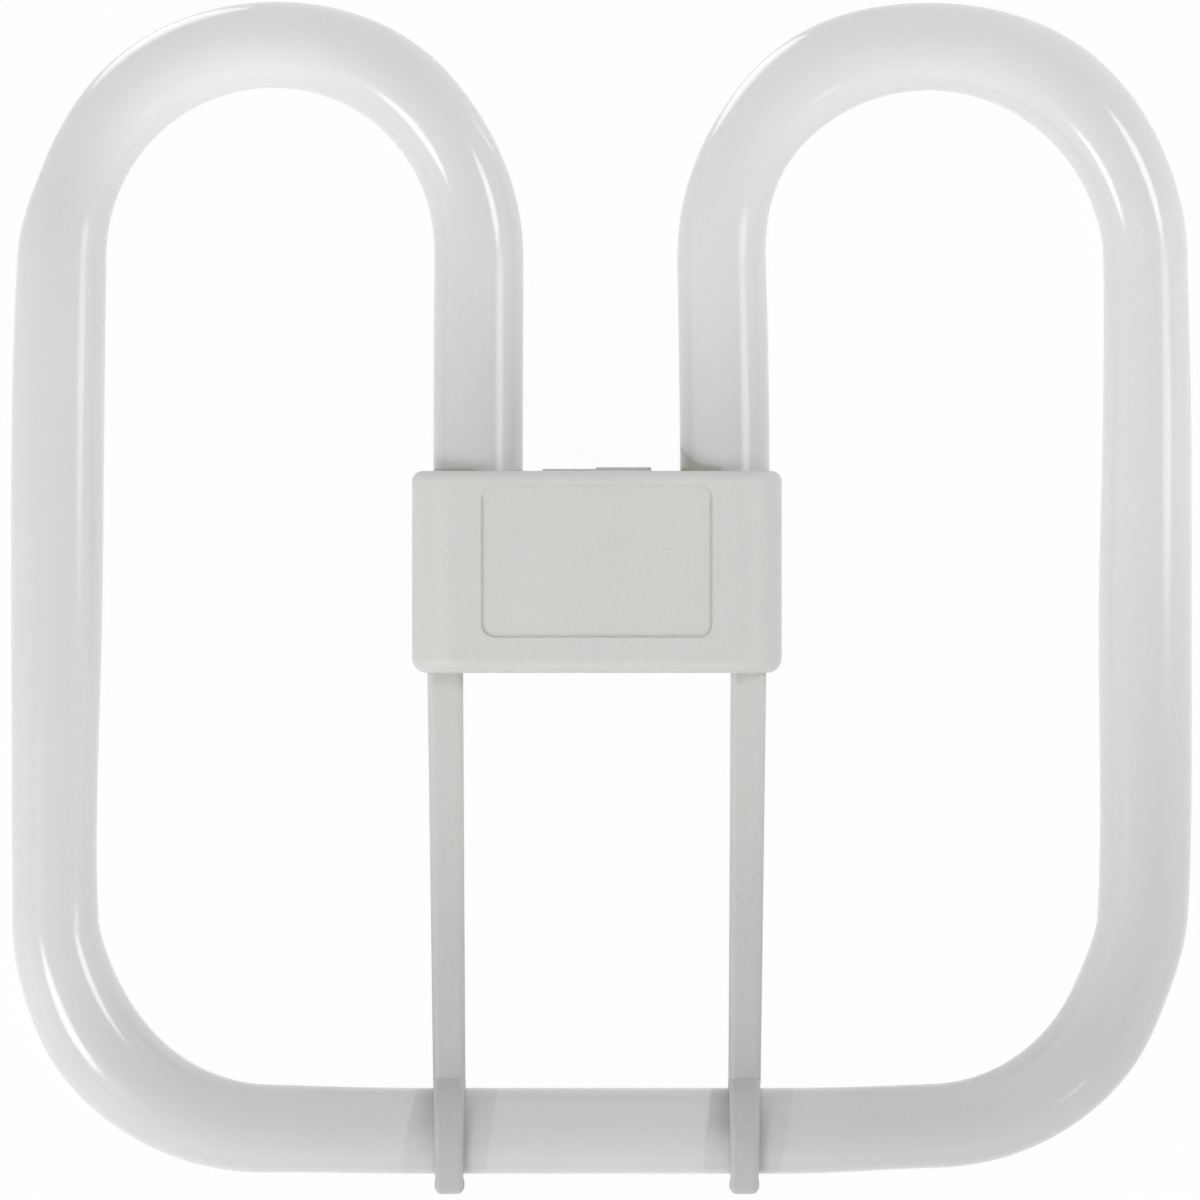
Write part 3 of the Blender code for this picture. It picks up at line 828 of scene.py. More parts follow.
@dataclass(frozen=True)
class LampCement(Finish):
    """Baked cement: coarse, pale and dry."""

    name: str = "lamp_cement"
    colour: Point = (0.52, 0.50, 0.45)
    roughness: float = 0.88
    mottling: Mottling = Mottling(
        cloud_scale=150.0, cloud_amount=0.15, grain_scale=1800.0, grain_amount=0.4
    )
    relief: Relief = Relief(strength=0.8, height=0.0002)

    def detail(self, surface: Surface) -> None:
        """Coarse grains in colour and relief.

        Args:
            surface: The cement's material.
        """
        mottle = surface.mottle(self.mottling)
        surface.feed("Base Color", self.toned(surface, mottle["Tone"]))
        surface.emboss(mottle["Relief"], self.relief)


@dataclass(frozen=True)
class Layout:
    """Places in the row frame that the sub-assemblies share."""

    tube_plane: float = 0.01965
    rail_y: float = -0.092489
    cap_x: float = -0.0008
    cap_y: float = 0.004511
    leg_x: float = 0.0214
    clip_spread: float = 0.0256
    part_gap: float = 0.0003
    rib_relief: float = 0.0002
    root: float = 0.0005
    overcut: float = 0.002


class Places(NamedTuple):
    """A value at fourteen places of one half of the tube, from the cap to the rail."""

    knee: float
    rise: float
    arch: float
    apex: float
    fall: float
    haunch: float
    shoulder: float
    chest: float
    waist: float
    foot: float
    turn: float
    corner: float
    heel: float
    rail: float


@dataclass(frozen=True)
class Drawing:
    """How one half of the glass came out of the mould, as shares of the tube's nominal radius, and its
    tone.

    Stray is how far the middle of the glass lies outside the mould's line, and density is
    how much of its usual tone the coat has, first in the cap and then at the named places. That tone
    holds painted light and shade as well as the coat's own: darker towards the rail and near the cap,
    lighter over the loops.
    """

    girth: Places
    stray: Places
    density: Places
    seal_shading_and_density: float


@dataclass(frozen=True)
class ClipShadow:
    """A painted shadow that a clip casts on the coat beside it, as a band round the rail.

    Reach is the band's far edge from the clip's middle at the rail's axis, lean how much further
    it lies per metre up the rail, and depth how much of the coat's tone the painted shadow takes,
    above the axis and below it.
    """

    side: Side
    reach: float
    lean: float
    depth: float
    depth_below: float


@dataclass(frozen=True)
class EdgeLine:
    """The line above the cap past which one inner leg takes the uncoated colour: where the coat stops
    on the right leg, and a painted contact shadow on the left.

    The line stands at a level and climbs exponentially from one place towards the middle of the
    lamp; past another place it falls, outwards where the fall is positive and inwards where it is
    negative. Places are from the leg's middle, outwards from the middle of the lamp.
    """

    level: float
    climb: float
    climb_from: float
    climb_length: float
    fall_from: float
    fall: float
    fade: float

    def past(self, across: float, y: float) -> float:
        """How far past the line a place lies, in widths of its fade.

        Args:
            across: The place from the leg's middle, outwards from the middle of the lamp.
            y: The place's Y.

        Returns:
            The distance, negative where the coat's colour shows.
        """
        line = self.level + self.climb * math.exp((self.climb_from - across) / self.climb_length)
        return (line - max(0.0, self.fall * (across - self.fall_from)) - y) / self.fade


@dataclass(frozen=True)
class Station:
    """One ring of the tube: its centre, the way the tube runs there, its radius and its coat's tone with
    painted light and shade.
    """

    x: float
    y: float
    heading: float
    radius: float
    density: float


@dataclass
class DischargeTube:
    """One glass tube folded into two loops, with a flat pinch seal at each end.

    Leg reach and rail reach say how far an inner leg and the rail reach from their axis, and mark
    blend over how much height the depth of a clip's painted shadow changes there, all in radii of the tube.
    """

    layout: Layout
    material: bpy.types.Material
    radius: float = 0.00795
    outer_x: float = 0.09455
    loop_height: float = 0.1518
    corner_radius: float = 0.0365
    leg_end: float = 0.1005
    cap_top: float = 0.1145
    shoulder_length: float = 0.005
    pinch_length: float = 0.008
    pinch_width: float = 0.013
    pinch_thickness: float = 0.0034
    seal_girth: float = 0.98
    leg_reach: float = 1.1
    rail_reach: float = 1.5
    off_mark: float = -10.0
    mark_blend: float = 0.5
    mark_fade: float = 0.0009
    # Painted shadows that the clips cast on the rail, one on each side of each clip.
    marks: tuple[ClipShadow, ...] = (
        ClipShadow(Side.LEFT, reach=-0.0078, lean=0.22, depth=0.13, depth_below=0.06),
        ClipShadow(Side.LEFT, reach=0.0077, lean=0.15, depth=0.08, depth_below=0.08),
        ClipShadow(Side.RIGHT, reach=-0.0070, lean=0.10, depth=0.22, depth_below=0.07),
        ClipShadow(Side.RIGHT, reach=0.0077, lean=0.18, depth=0.07, depth_below=0.08),
    )
    coat_edge_and_shadow_lines: dict[Side, EdgeLine] = field(
        default_factory=lambda: {
            # Painted contact shadow: a fine dark line where the left leg meets the cap.
            Side.LEFT: EdgeLine(
                level=0.0226, climb=0.0, climb_from=0.0, climb_length=1.0,
                fall_from=0.001, fall=-0.4, fade=0.0004,
            ),
            Side.RIGHT: EdgeLine(
                level=0.0230, climb=0.00395, climb_from=-0.00767, climb_length=0.0019,
                fall_from=-0.001, fall=0.9, fade=0.0007,
            ),
        }
    )
    crease: float = 50.0
    sides: int = 64
    leg_steps: int = 16
    bend_steps: int = 60
    outer_leg_steps: int = 30
    corner_steps: int = 32
    rail_steps: int = 12
    shoulder_steps: int = 8
    stages: Places = Places(
        knee=1.0, rise=1.17, arch=1.32, apex=1.5, fall=1.7, haunch=1.88, shoulder=2.0,
        chest=2.23, waist=2.53, foot=2.92, turn=3.2, corner=3.42, heel=4.0, rail=4.45,
    )
    drawings: dict[Side, Drawing] = field(
        default_factory=lambda: {
            Side.LEFT: Drawing(
                girth=Places(
                    knee=0.975, rise=0.935, arch=0.97, apex=0.942, fall=0.94, haunch=0.885, shoulder=0.975,
                    chest=1.015, waist=1.0, foot=0.93, turn=1.025, corner=1.075, heel=0.965, rail=0.94,
                ),
                stray=Places(
                    knee=0.015, rise=0.04, arch=0.095, apex=0.015, fall=-0.075, haunch=-0.19,
                    shoulder=-0.11, chest=-0.03, waist=0.0, foot=0.05, turn=-0.055, corner=-0.055,
                    heel=-0.05, rail=0.0,
                ),
                # Painted light and shade with the coat's own tone: lighter over the loop, darker towards
                # the rail and the seal.
                density=Places(
                    knee=0.95, rise=0.98, arch=1.0, apex=1.08, fall=1.08, haunch=0.99, shoulder=0.97,
                    chest=0.97, waist=0.96, foot=0.96, turn=0.94, corner=0.88, heel=0.83, rail=0.81,
                ),
                seal_shading_and_density=0.82,
            ),
            Side.RIGHT: Drawing(
                girth=Places(
                    knee=0.97, rise=0.925, arch=0.995, apex=0.96, fall=1.015, haunch=0.95, shoulder=0.925,
                    chest=0.965, waist=1.02, foot=0.995, turn=0.995, corner=1.01, heel=0.92, rail=0.94,
                ),
                stray=Places(
                    knee=0.07, rise=0.12, arch=0.11, apex=-0.025, fall=-0.03, haunch=-0.065,
                    shoulder=-0.015, chest=0.02, waist=-0.02, foot=-0.03, turn=-0.26, corner=-0.23,
                    heel=-0.11, rail=0.0,
                ),
                # Painted light and shade with the coat's own tone: lighter over the loop, darker towards
                # the rail and the seal.
                density=Places(
                    knee=1.0, rise=1.02, arch=1.03, apex=1.03, fall=1.01, haunch=1.0, shoulder=1.02,
                    chest=1.01, waist=0.97, foot=0.88, turn=0.85, corner=0.81, heel=0.78, rail=0.79,
                ),
                seal_shading_and_density=0.83,
            ),
        }
    )

    @property
    def seated_stage(self) -> float:
        """The stage at which the leg comes out of the cap."""
        return (self.cap_top - self.leg_end) / (self.loop_height - self.leg_end)

    def course(self, side: Side, stage: float) -> tuple[float, float, float, float, float]:
        """A place on the mould's line of one half.

        A stage is 0 at the inner leg's end, 1 and 2 at the loop's two ends, 3 and 4 at the
        corner's two ends and 5 in the middle of the rail.

        Args:
            side: Which half.
            stage: How far along it.

        Returns:
            The place, the way out of its bend there, and the heading away from the seal.
        """
        sign = side.value
        if stage <= 1:
            y = self.leg_end + (self.loop_height - self.leg_end) * stage
            return sign * self.layout.leg_x, y, -sign, 0.0, 0.0
        if stage <= 2:
            angle = math.pi * (stage - 1)
            out_x, out_y = -sign * math.cos(angle), math.sin(angle)
            middle = (self.outer_x + self.layout.leg_x) / 2
            radius = (self.outer_x - self.layout.leg_x) / 2
            return sign * middle + radius * out_x, self.loop_height + radius * out_y, out_x, out_y, angle
        if stage <= 3:
            y = self.loop_height + (self.corner_radius - self.loop_height) * (stage - 2)
            return sign * self.outer_x, y, sign, 0.0, math.pi
        inner_x = self.outer_x - self.corner_radius
        if stage <= 4:
            angle = math.pi / 2 * (stage - 3)
            out_x, out_y = sign * math.cos(angle), -math.sin(angle)
            x = sign * inner_x + self.corner_radius * out_x
            return x, self.corner_radius * (1 + out_y), out_x, out_y, math.pi + angle
        return sign * inner_x * (5 - stage), 0.0, 0.0, -1.0, 1.5 * math.pi

    def drawn(self, start: float, places: Places, stage: float) -> float:
        """A value of the drawn glass, on a smooth curve through its named places.

        Args:
            start: The value where the cap seats the leg.
            places: The values after that.
            stage: How far along the half.

        Returns:
            The value at that stage.
        """
        at, values = (self.seated_stage, *self.stages), (start, *places)
        if stage <= at[0]:
            return values[0]
        if stage >= at[-1]:
            return values[-1]
        i = max(k for k, mark in enumerate(at) if mark <= stage)

        def slope(k: int) -> float:
            """The curve's slope at one of its places, which is none at its two ends."""
            inner = 0 < k < len(at) - 1
            return (values[k + 1] - values[k - 1]) / (at[k + 1] - at[k - 1]) if inner else 0.0

        span = at[i + 1] - at[i]
        share = (stage - at[i]) / span
        rest = 1 - share
        return (
            values[i] * rest * rest * (1 + 2 * share)
            + values[i + 1] * share * share * (3 - 2 * share)
            + span * share * rest * (slope(i) * rest - slope(i + 1) * share)
        )

    def half_route(self, side: Side) -> list[Station]:
        """Stations of one half, from its seat in the cap to the straight of the rail.

        Args:
            side: Which half.

        Returns:
            The stations, which all run away from the seal.
        """
        drawing = self.drawings[side]
        stages = [self.seated_stage]
        for start, end, count in (
            (self.seated_stage, 1.0, self.leg_steps),
            (1.0, 2.0, self.bend_steps),
            (2.0, 3.0, self.outer_leg_steps),
            (3.0, 4.0, self.corner_steps),
            (4.0, self.stages.rail, self.rail_steps),
        ):
            stages += [start + (end - start) * share for share in shares(count)]
        stations = []
        for stage in stages:
            x, y, out_x, out_y, heading = self.course(side, stage)
            shift = self.radius * self.drawn(0.0, drawing.stray, stage)
            stations.append(
                Station(
                    x + out_x * shift,
                    self.layout.rail_y + y + out_y * shift,
                    heading,
                    self.radius * self.drawn(self.seal_girth, drawing.girth, stage),
                    self.drawn(drawing.seal_shading_and_density, drawing.density, stage),
                )
            )
        return stations

    def route(self) -> list[Station]:
        """Stations of the whole tube, from the left inner leg over the rail to the right one.

        Returns:
            The stations.
        """
        left, right = self.half_route(Side.LEFT), self.half_route(Side.RIGHT)
        back = [replace(s, heading=3 * math.pi - s.heading) for s in reversed(right)]
        start, reach = left[-1], back[0].x - left[-1].x
        rail = [
            replace(start, x=start.x + reach * share) for share in shares(2 * self.rail_steps)[:-1]
        ]
        return left + rail + back

    def build(self) -> bpy.types.Object:
        """Model the tube as one sealed piece.

        Returns:
            The tube, which stands for its CAD node.
        """
        route = self.route()
        first, last = route[0], route[-1]
        start_y = self.layout.rail_y + self.leg_end
        Bench.clear()
        bpy.ops.mesh.primitive_circle_add(
            vertices=self.sides,
            radius=first.radius,
            fill_type="NOTHING",
            location=(first.x, start_y, self.layout.tube_plane),
            rotation=Axis.Y.value,
        )
        tube = Bench.settle("discharge_tube_glass")
        with Bench.editing(tube):
            bpy.ops.mesh.select_all(action="SELECT")
            before = replace(first, y=start_y)
            for station in route:
                self.grow(before, station)
                before = station
            self.grow(last, replace(last, y=start_y))
            self.seal(last.x)
            Bench.pick(Element.EDGES, lambda e: e.is_boundary)
            self.seal(first.x)
        self.mark_coat(tube, route)
        Bench.face_out(tube)
        Bench.smooth(tube, self.crease, weighted=False)
        return dress(tube, self.material, "discharge_tube")

    def grow(self, before: Station, after: Station) -> None:
        """Extrude the open end from one station to the next, then turn it and set its girth.

        Args:
            before: Where the open end is.
            after: The next station.
        """
        centre = (after.x, after.y, self.layout.tube_plane)
        Bench.extrude((after.x - before.x, after.y - before.y, 0.0))
        bend = after.heading - before.heading
        if abs(bend) > NO_CHANGE:
            Bench.turn(bend, Axis.Z, centre)
        ratio = after.radius / before.radius
        if abs(ratio - 1) > NO_CHANGE:
            Bench.resize((ratio, ratio, ratio), centre)

    def seal(self, x: float) -> None:
        """Squeeze the selected open end flat over its shoulder, carry it down and close it.

        Args:
            x: The leg's middle.
        """
        y = self.layout.rail_y + self.leg_end
        radius = self.radius * self.seal_girth
        width, depth = radius, radius
        for share in shares(self.shoulder_steps):
            y -= self.shoulder_length / self.shoulder_steps
            Bench.extrude((0.0, -self.shoulder_length / self.shoulder_steps, 0.0))
            wide = ease(radius, self.pinch_width / 2, share)
            deep = ease(radius, self.pinch_thickness / 2, share)
            Bench.resize((wide / width, 1.0, deep / depth), (x, y, self.layout.tube_plane))
            width, depth = wide, deep
        Bench.extrude((0.0, -self.pinch_length, 0.0))
        bpy.ops.mesh.edge_face_add()

    def mark_coat(self, tube: bpy.types.Object, route: Sequence[Station]) -> None:
        """Write what the finish reads: the coat's tone with painted light and shade, its edge and painted
        shadow line at the cap, and the painted clip shadows.

        Args:
            tube: The tube.
            route: The stations that it was grown along.
        """
        names = PhosphorGlass().attributes
        for name in names:
            tube.data.attributes.new(name, "FLOAT", "POINT")
        density, edge, mark, depth = (tube.data.attributes[name] for name in names)
        for vertex in tube.data.vertices:
            x, y, _ = vertex.co
            near = min(route, key=lambda s: (s.x - x) ** 2 + (s.y - y) ** 2)
            density.data[vertex.index].value = near.density
            edge.data[vertex.index].value = self.coat_edge(x, y)
            mark.data[vertex.index].value, depth.data[vertex.index].value = self.clip_mark(x, y)

    def coat_edge(self, x: float, y: float) -> float:
        """How far past the line above the cap a place lies, in widths of its fade: the coat's edge on the
        right leg, a painted contact shadow on the left.

        Args:
            x: The place's X.
            y: The place's Y.

        Returns:
            The distance, negative where the coat's colour shows.
        """
        side = Side.RIGHT if x > 0 else Side.LEFT
        across = abs(x) - self.layout.leg_x
        on_leg = abs(across) <= self.leg_reach * self.radius
        if not (on_leg and 0.0 < y < self.layout.rail_y + self.loop_height):
            return self.off_mark
        return self.coat_edge_and_shadow_lines[side].past(across, y)

    def clip_mark(self, x: float, y: float) -> tuple[float, float]:
        """How far inside the nearest clip's painted shadow a place lies, and how deep the shadow is there.

        Args:
            x: The place's X.
            y: The place's Y.

        Returns:
            The distance in widths of the shadow's fade, negative off the shadow, and the depth.
        """
        above = y - self.layout.rail_y
        if above > self.rail_reach * self.radius:
            return self.off_mark, 0.0
        side = Side.RIGHT if x > 0 else Side.LEFT
        beside = x - self.layout.cap_x - side.value * self.layout.clip_spread
        mark = next(m for m in self.marks if m.side is side and m.reach * beside >= 0)
        inside = math.copysign(1.0, mark.reach) * (mark.reach + mark.lean * above - beside)
        share = min(1.0, max(0.0, 0.5 + above / (self.mark_blend * self.radius)))
        return inside / self.mark_fade, ease(mark.depth_below, mark.depth, share)


@dataclass(frozen=True)
class CapSize:
    """Sizes that both shells of the cap and the pins share, from the middle of the cap.

    The crease is the angle in degrees from which an edge stays crisp.
    """

    half_width: float = 0.03205
    half_height: float = 0.0175
    half_depth: float = 0.01065
    wall: float = 0.0015
    end_radius: float = 0.008
    top_fillet: float = 0.0018
    bottom_fillet: float = 0.0026
    seat_radius: float = 0.008091
    seat_chamfer: float = 0.0004
    bulkhead_foot: float = 0.008
    bulkhead_wall: float = 0.0015
    boss_radius: float = 0.003
    peg_radius: float = 0.0012
    peg_length: float = 0.004
    peg_tip: float = 0.0004
    pin_pitch: float = 0.010
    cement_thickness: float = 0.0007
    end_segments: int = 16
    fillet_segments: int = 7
    tip_segments: int = 3
    round_sides: int = 48
    crease: float = 32.0


@dataclass
class CapShell:
    """What both shells are: a drawn half box with rounded ends, a bulkhead and bosses."""

    layout: Layout
    material: bpy.types.Material
    facing: Facing
    size: CapSize = CapSize()

    def at(self, x: float, y: float, z: float) -> Point:
        """A place given from the middle of the cap, in the row frame."""
        return (self.layout.cap_x + x, self.layout.cap_y + y, self.layout.tube_plane + z)

    def box(self, name: str, low: Point, high: Point) -> bpy.types.Object:
        """A box between two corners given from the middle of the cap."""
        ends = [sorted(pair) for pair in zip(low, high)]
        return Bench.block(name, self.at(*(e[0] for e in ends)), self.at(*(e[1] for e in ends)))

    def half_block(
        self, name: str, inset: float, floor: float, low: float, high: float
    ) -> bpy.types.Object:
        """Half of the cap's section as a block, its two outer edges rounded.

        Args:
            name: The piece's name.
            inset: How far it is set in from the cap's outside.
            floor: Its distance from the joint.
            low: Its lower end.
            high: Its upper end.

        Returns:
            The block.
        """
        s, sign = self.size, self.facing.value
        across = s.half_width - inset
        block = self.box(
            name, (-across, low, sign * floor), (across, high, sign * (s.half_depth - inset))
        )
        face = self.at(0.0, 0.0, sign * (s.half_depth - inset))[2]
        with Bench.editing(block):
            Bench.pick(Element.EDGES, flat(Axis.Z, face), runs(Axis.Y))
            Bench.round_off(s.end_radius - inset, s.end_segments)
        return block

    def shell(self, name: str) -> bpy.types.Object:
        """The drawn shell: round its ends over, open it at the joint and give it its wall.

        Args:
            name: The piece's name.

        Returns:
            The shell.
        """
        s, sign = self.size, self.facing.value
        floor = self.layout.part_gap / 2
        shell = self.half_block(name, 0.0, floor, -s.half_height, s.half_height)
        at_joint = flat(Axis.Z, self.at(0.0, 0.0, sign * floor)[2])
        with Bench.editing(shell):
            for end, fillet in ((s.half_height, s.top_fillet), (-s.half_height, s.bottom_fillet)):
                level = self.at(0.0, end, 0.0)[1]
                Bench.pick(Element.EDGES, flat(Axis.Y, level), lambda e: not at_joint(e))
                Bench.round_off(fillet, s.fillet_segments)
            Bench.pick(Element.FACES, at_joint)
            bpy.ops.mesh.delete(type="ONLY_FACE")
        Bench.apply(
            shell, "SOLIDIFY", thickness=s.wall, offset=-1.0, use_even_offset=True, use_quality_normals=True
        )
        return shell

    def post_places(self) -> tuple[tuple[float, float], ...]:
        """Where the bosses stand: one on the bottom wall, one on the top wall beside each leg.

        Returns:
            The X and Y of each, from the middle of the cap.
        """
        s, layout = self.size, self.layout
        beside = layout.leg_x + layout.cap_x - s.seat_radius
        beside -= s.cement_thickness + layout.root + s.boss_radius
        above = s.half_height - s.wall - s.boss_radius + layout.root
        return (0.0, -above), (beside, above), (-beside, above)

    def furnish(self, shell: bpy.types.Object) -> None:
        """Add the bulkhead that carries the legs and the three bosses.

        Args:
            shell: The shell.
        """
        s, sign = self.size, self.facing.value
        floor = self.layout.part_gap / 2 + self.layout.rib_relief
        bulkhead = self.half_block(
            "bulkhead", s.wall - self.layout.root, floor, s.bulkhead_foot, s.bulkhead_foot + s.bulkhead_wall
        )
        Bench.combine(shell, bulkhead, Join.ADD)
        reach = s.half_depth - s.wall + self.layout.root - floor
        for x, y in self.post_places():
            low = sign * floor if sign > 0 else sign * (floor + reach)
            boss = Bench.bar("boss", s.boss_radius, self.at(x, y, low), reach, Axis.Z, s.round_sides)
            Bench.combine(shell, boss, Join.ADD)

    def seat_legs(self, shell: bpy.types.Object) -> None:
        """Cut the openings for the two legs, with a small chamfer at the top wall.

        Args:
            shell: The shell.
        """
        s = self.size
        low = s.bulkhead_foot - self.layout.overcut
        for side in Side:
            x = side.value * self.layout.leg_x - self.layout.cap_x
            seat = Bench.bar(
                "leg_seat",
                s.seat_radius,
                self.at(x, low, 0.0),
                s.half_height - s.seat_chamfer - low,
                Axis.Y,
                2 * s.round_sides,
            )
            top = self.at(0.0, s.half_height - s.seat_chamfer, 0.0)[1]
            wide = (s.seat_radius + s.seat_chamfer) / s.seat_radius
            with Bench.editing(seat):
                Bench.pick(Element.FACES, flat(Axis.Y, top))
                Bench.extrude((0.0, s.seat_chamfer, 0.0))
                Bench.resize((wide, 1.0, wide), self.at(x, 0.0, 0.0))
                Bench.extrude((0.0, self.layout.overcut, 0.0))
            Bench.combine(shell, seat, Join.CUT)


@dataclass
class FrontHousing(CapShell):
    """The front shell with its label panel, both arms and both clips: one moulding.

    Label draft is how far the panel's wall leans per metre of depth. Inset slack and section slack
    are how far a vertex may stand from the line that it is looked for on.
    """

    facing: Facing = Facing.FRONT
    label_width: float = 0.0402
    label_height: float = 0.0265
    label_corner: float = 0.0024
    label_depth: float = 0.0003
    label_rise: float = 0.00185
    label_edge: float = 0.00012
    label_draft: float = 0.8
    label_line_inset: float = 0.00015
    label_line_width: float = 0.00042
    label_line_depth: float = 0.00012
    arm_spread: float = 0.0263
    arm_width: float = 0.0062
    clip_width: float = 0.0056
    clip_tip_width: float = 0.0052
    arm_thickness: float = 0.0036
    arm_setback: float = 0.0005
    arm_edge: float = 0.0006
    arm_crown: float = 0.0013
    arm_wall: float = 0.0014
    channel_depth: float = 0.0022
    channel_end: float = 0.004
    inset_slack: float = 0.0002
    clip_inner: float = 0.007773
    clip_thickness: float = 0.0022
    clip_start: float = math.radians(125)
    clip_end: float = math.radians(-100)
    clip_crown: float = 0.0011
    clip_edge: float = 0.0004
    clip_steps: int = 50
    tip_inset: float = 0.00035
    section_slack: float = 0.00001
    arm_share: float = 0.22
    fairing_start: float = math.radians(-50)
    fairing_relief: float = 0.00015
    lip_radius: float = 0.0017
    lip_corner: float = 0.0014
    edge_segments: int = 4
    label_segments: int = 10
    label_edge_segments: int = 2
    lip_segments: int = 6
    lip_sides: int = 40

    def build(self) -> bpy.types.Object:
        """Model the moulding.

        Returns:
            The front housing, which stands for its CAD node.
        """
        body = self.shell("cap_front")
        self.furnish(body)
        self.add_pegs(body)
        for side in Side:
            for tool in (self.arm(side), self.clip(side), self.lip(side)):
                Bench.combine(body, tool, Join.ADD)
        self.seat_legs(body)
        Bench.combine(body, self.label_panel(), Join.CUT)
        Bench.combine(body, self.label_line(), Join.CUT)
        Bench.smooth(body, self.size.crease)
        self.paint_arm_and_clip_shade(body)
        return dress(body, self.material, "housing_front")

    def paint_arm_and_clip_shade(self, body: bpy.types.Object) -> None:
        """Write the painted shade: 0 in the shell, part way in the arms and 1 in the clips.

        Args:
            body: The moulding.
        """
        shade_share = body.data.attributes.new(MouldedPlastic().shade_attribute, "FLOAT", "POINT")
        shell_end = self.layout.cap_y - self.size.half_height
        clip_start = self.layout.rail_y + self.clip_inner + self.clip_thickness
        for vertex in body.data.vertices:
            into_arm = min(1.0, max(0.0, (shell_end - vertex.co.y) / self.arm_thickness))
            past = clip_start + self.clip_thickness - vertex.co.y
            into_clip = min(1.0, max(0.0, past / (2 * self.clip_thickness)))
            shade_share.data[vertex.index].value = self.arm_share * into_arm + (1 - self.arm_share) * into_clip

    def add_pegs(self, body: bpy.types.Object) -> None:
        """Stand the pegs in their bosses, each with a round tip.

        Args:
            body: The shell.
        """
        s = self.size
        for x, y in self.post_places():
            peg = Bench.bar(
                "peg",
                s.peg_radius,
                self.at(x, y, -s.peg_length),
                s.peg_length + s.half_depth - s.wall,
                Axis.Z,
                s.round_sides,
            )
            tip = self.at(0.0, 0.0, -s.peg_length)[2]
            with Bench.editing(peg):
                Bench.pick(Element.EDGES, flat(Axis.Z, tip))
                Bench.round_off(s.peg_tip, s.tip_segments)
            Bench.combine(body, peg, Join.ADD)

    def rail_at(self, x: float, y: float, z: float) -> Point:
        """A place given from the rail's axis in Y and Z and from the cap's middle in X."""
        return (self.layout.cap_x + x, self.layout.rail_y + y, self.layout.tube_plane + z)

    def arm(self, side: Side) -> bpy.types.Object:
        """One arm: a tapered bar with a channel down its back.

        Args:
            side: Which arm.

        Returns:
            The arm.
        """
        s, gap = self.size, self.layout.cap_y - self.layout.rail_y
        top = -s.half_height + s.wall - self.layout.root
        foot = -gap + self.clip_inner + self.layout.root
        middle = side.value * self.arm_spread
        back, face = self.arm_setback, self.arm_setback + self.arm_thickness
        arm = self.box(
            "arm", (middle - self.arm_width / 2, foot, back), (middle + self.arm_width / 2, top, face)
        )
        low, high = self.at(0.0, foot, 0.0)[1], self.at(0.0, top, 0.0)[1]
        behind, in_front = self.at(0.0, 0.0, back)[2], self.at(0.0, 0.0, face)[2]
        at_low, at_high = near(Axis.Y, low), near(Axis.Y, high)
        with Bench.editing(arm):
            Bench.pick(Element.VERTICES, at_low)
            Bench.resize((self.clip_width / self.arm_width, 1.0, 1.0), self.at(middle, foot, back))
            shift = side.value * (self.layout.clip_spread - self.arm_spread)
            bpy.ops.transform.translate(value=(shift, 0.0, 0.0))
            Bench.pick(Element.FACES, flat(Axis.Z, behind))
            bpy.ops.mesh.inset(thickness=self.arm_wall, depth=0.0)
            Bench.extrude((0.0, 0.0, self.channel_depth))
            clip_outer = self.clip_inner + self.clip_thickness
            near_cap = self.at(0.0, -s.half_height - self.channel_end, 0.0)[1]
            near_clip = self.rail_at(0.0, clip_outer + self.channel_end, 0.0)[1]
            for old, new in ((high - self.arm_wall, near_cap), (low + self.arm_wall, near_clip)):
                Bench.pick(Element.VERTICES, near(Axis.Y, old, self.inset_slack))
                bpy.ops.transform.translate(value=(0.0, new - old, 0.0))
            for level, width in ((in_front, self.arm_crown), (behind, self.arm_edge)):
                Bench.pick(
                    Element.EDGES,
                    flat(Axis.Z, level),
                    runs(Axis.Y),
                    lambda e: all(at_low(v) or at_high(v) for v in e.verts),
                )
                Bench.round_off(width, 2 * self.edge_segments)
        return arm

    def clip(self, side: Side) -> bpy.types.Object:
        """One clip: a band swept round the rail, from its back over the front to its underside.

        Args:
            side: Which clip.

        Returns:
            The clip.
        """
        middle = side.value * self.layout.clip_spread
        axis = self.rail_at(middle, 0.0, 0.0)
        Bench.clear()
        bpy.ops.mesh.primitive_plane_add(
            size=1.0,
            location=self.rail_at(middle, 0.0, self.clip_inner + self.clip_thickness / 2),
            rotation=Axis.Y.value,
        )
        bpy.context.view_layer.objects.active.scale = (self.clip_width, self.clip_thickness, 1.0)
        clip = Bench.settle("clip")
        step = (self.clip_end - self.clip_start) / self.clip_steps
        width = self.clip_width
        with Bench.editing(clip):
            half_way = axis[2] + self.clip_inner + self.clip_thickness / 2
            Bench.pick(Element.VERTICES, lambda v: v.co.z > half_way)
            Bench.round_off(self.clip_crown, 2 * self.edge_segments, corners=True)
            Bench.pick(Element.VERTICES, near(Axis.Z, axis[2] + self.clip_inner))
            Bench.round_off(self.clip_edge, self.edge_segments, corners=True)
            bpy.ops.mesh.select_all(action="SELECT")
            Bench.turn(-self.clip_start, Axis.X, axis)
            for share in shares(self.clip_steps):
                here = ease(self.clip_width, self.clip_tip_width - self.tip_inset, share)
                Bench.extrude()
                Bench.turn(-step, Axis.X, axis)
                Bench.resize((here / width, 1.0, 1.0), axis)
                width = here
            self.fair(axis)
        Bench.face_out(clip)
        return clip

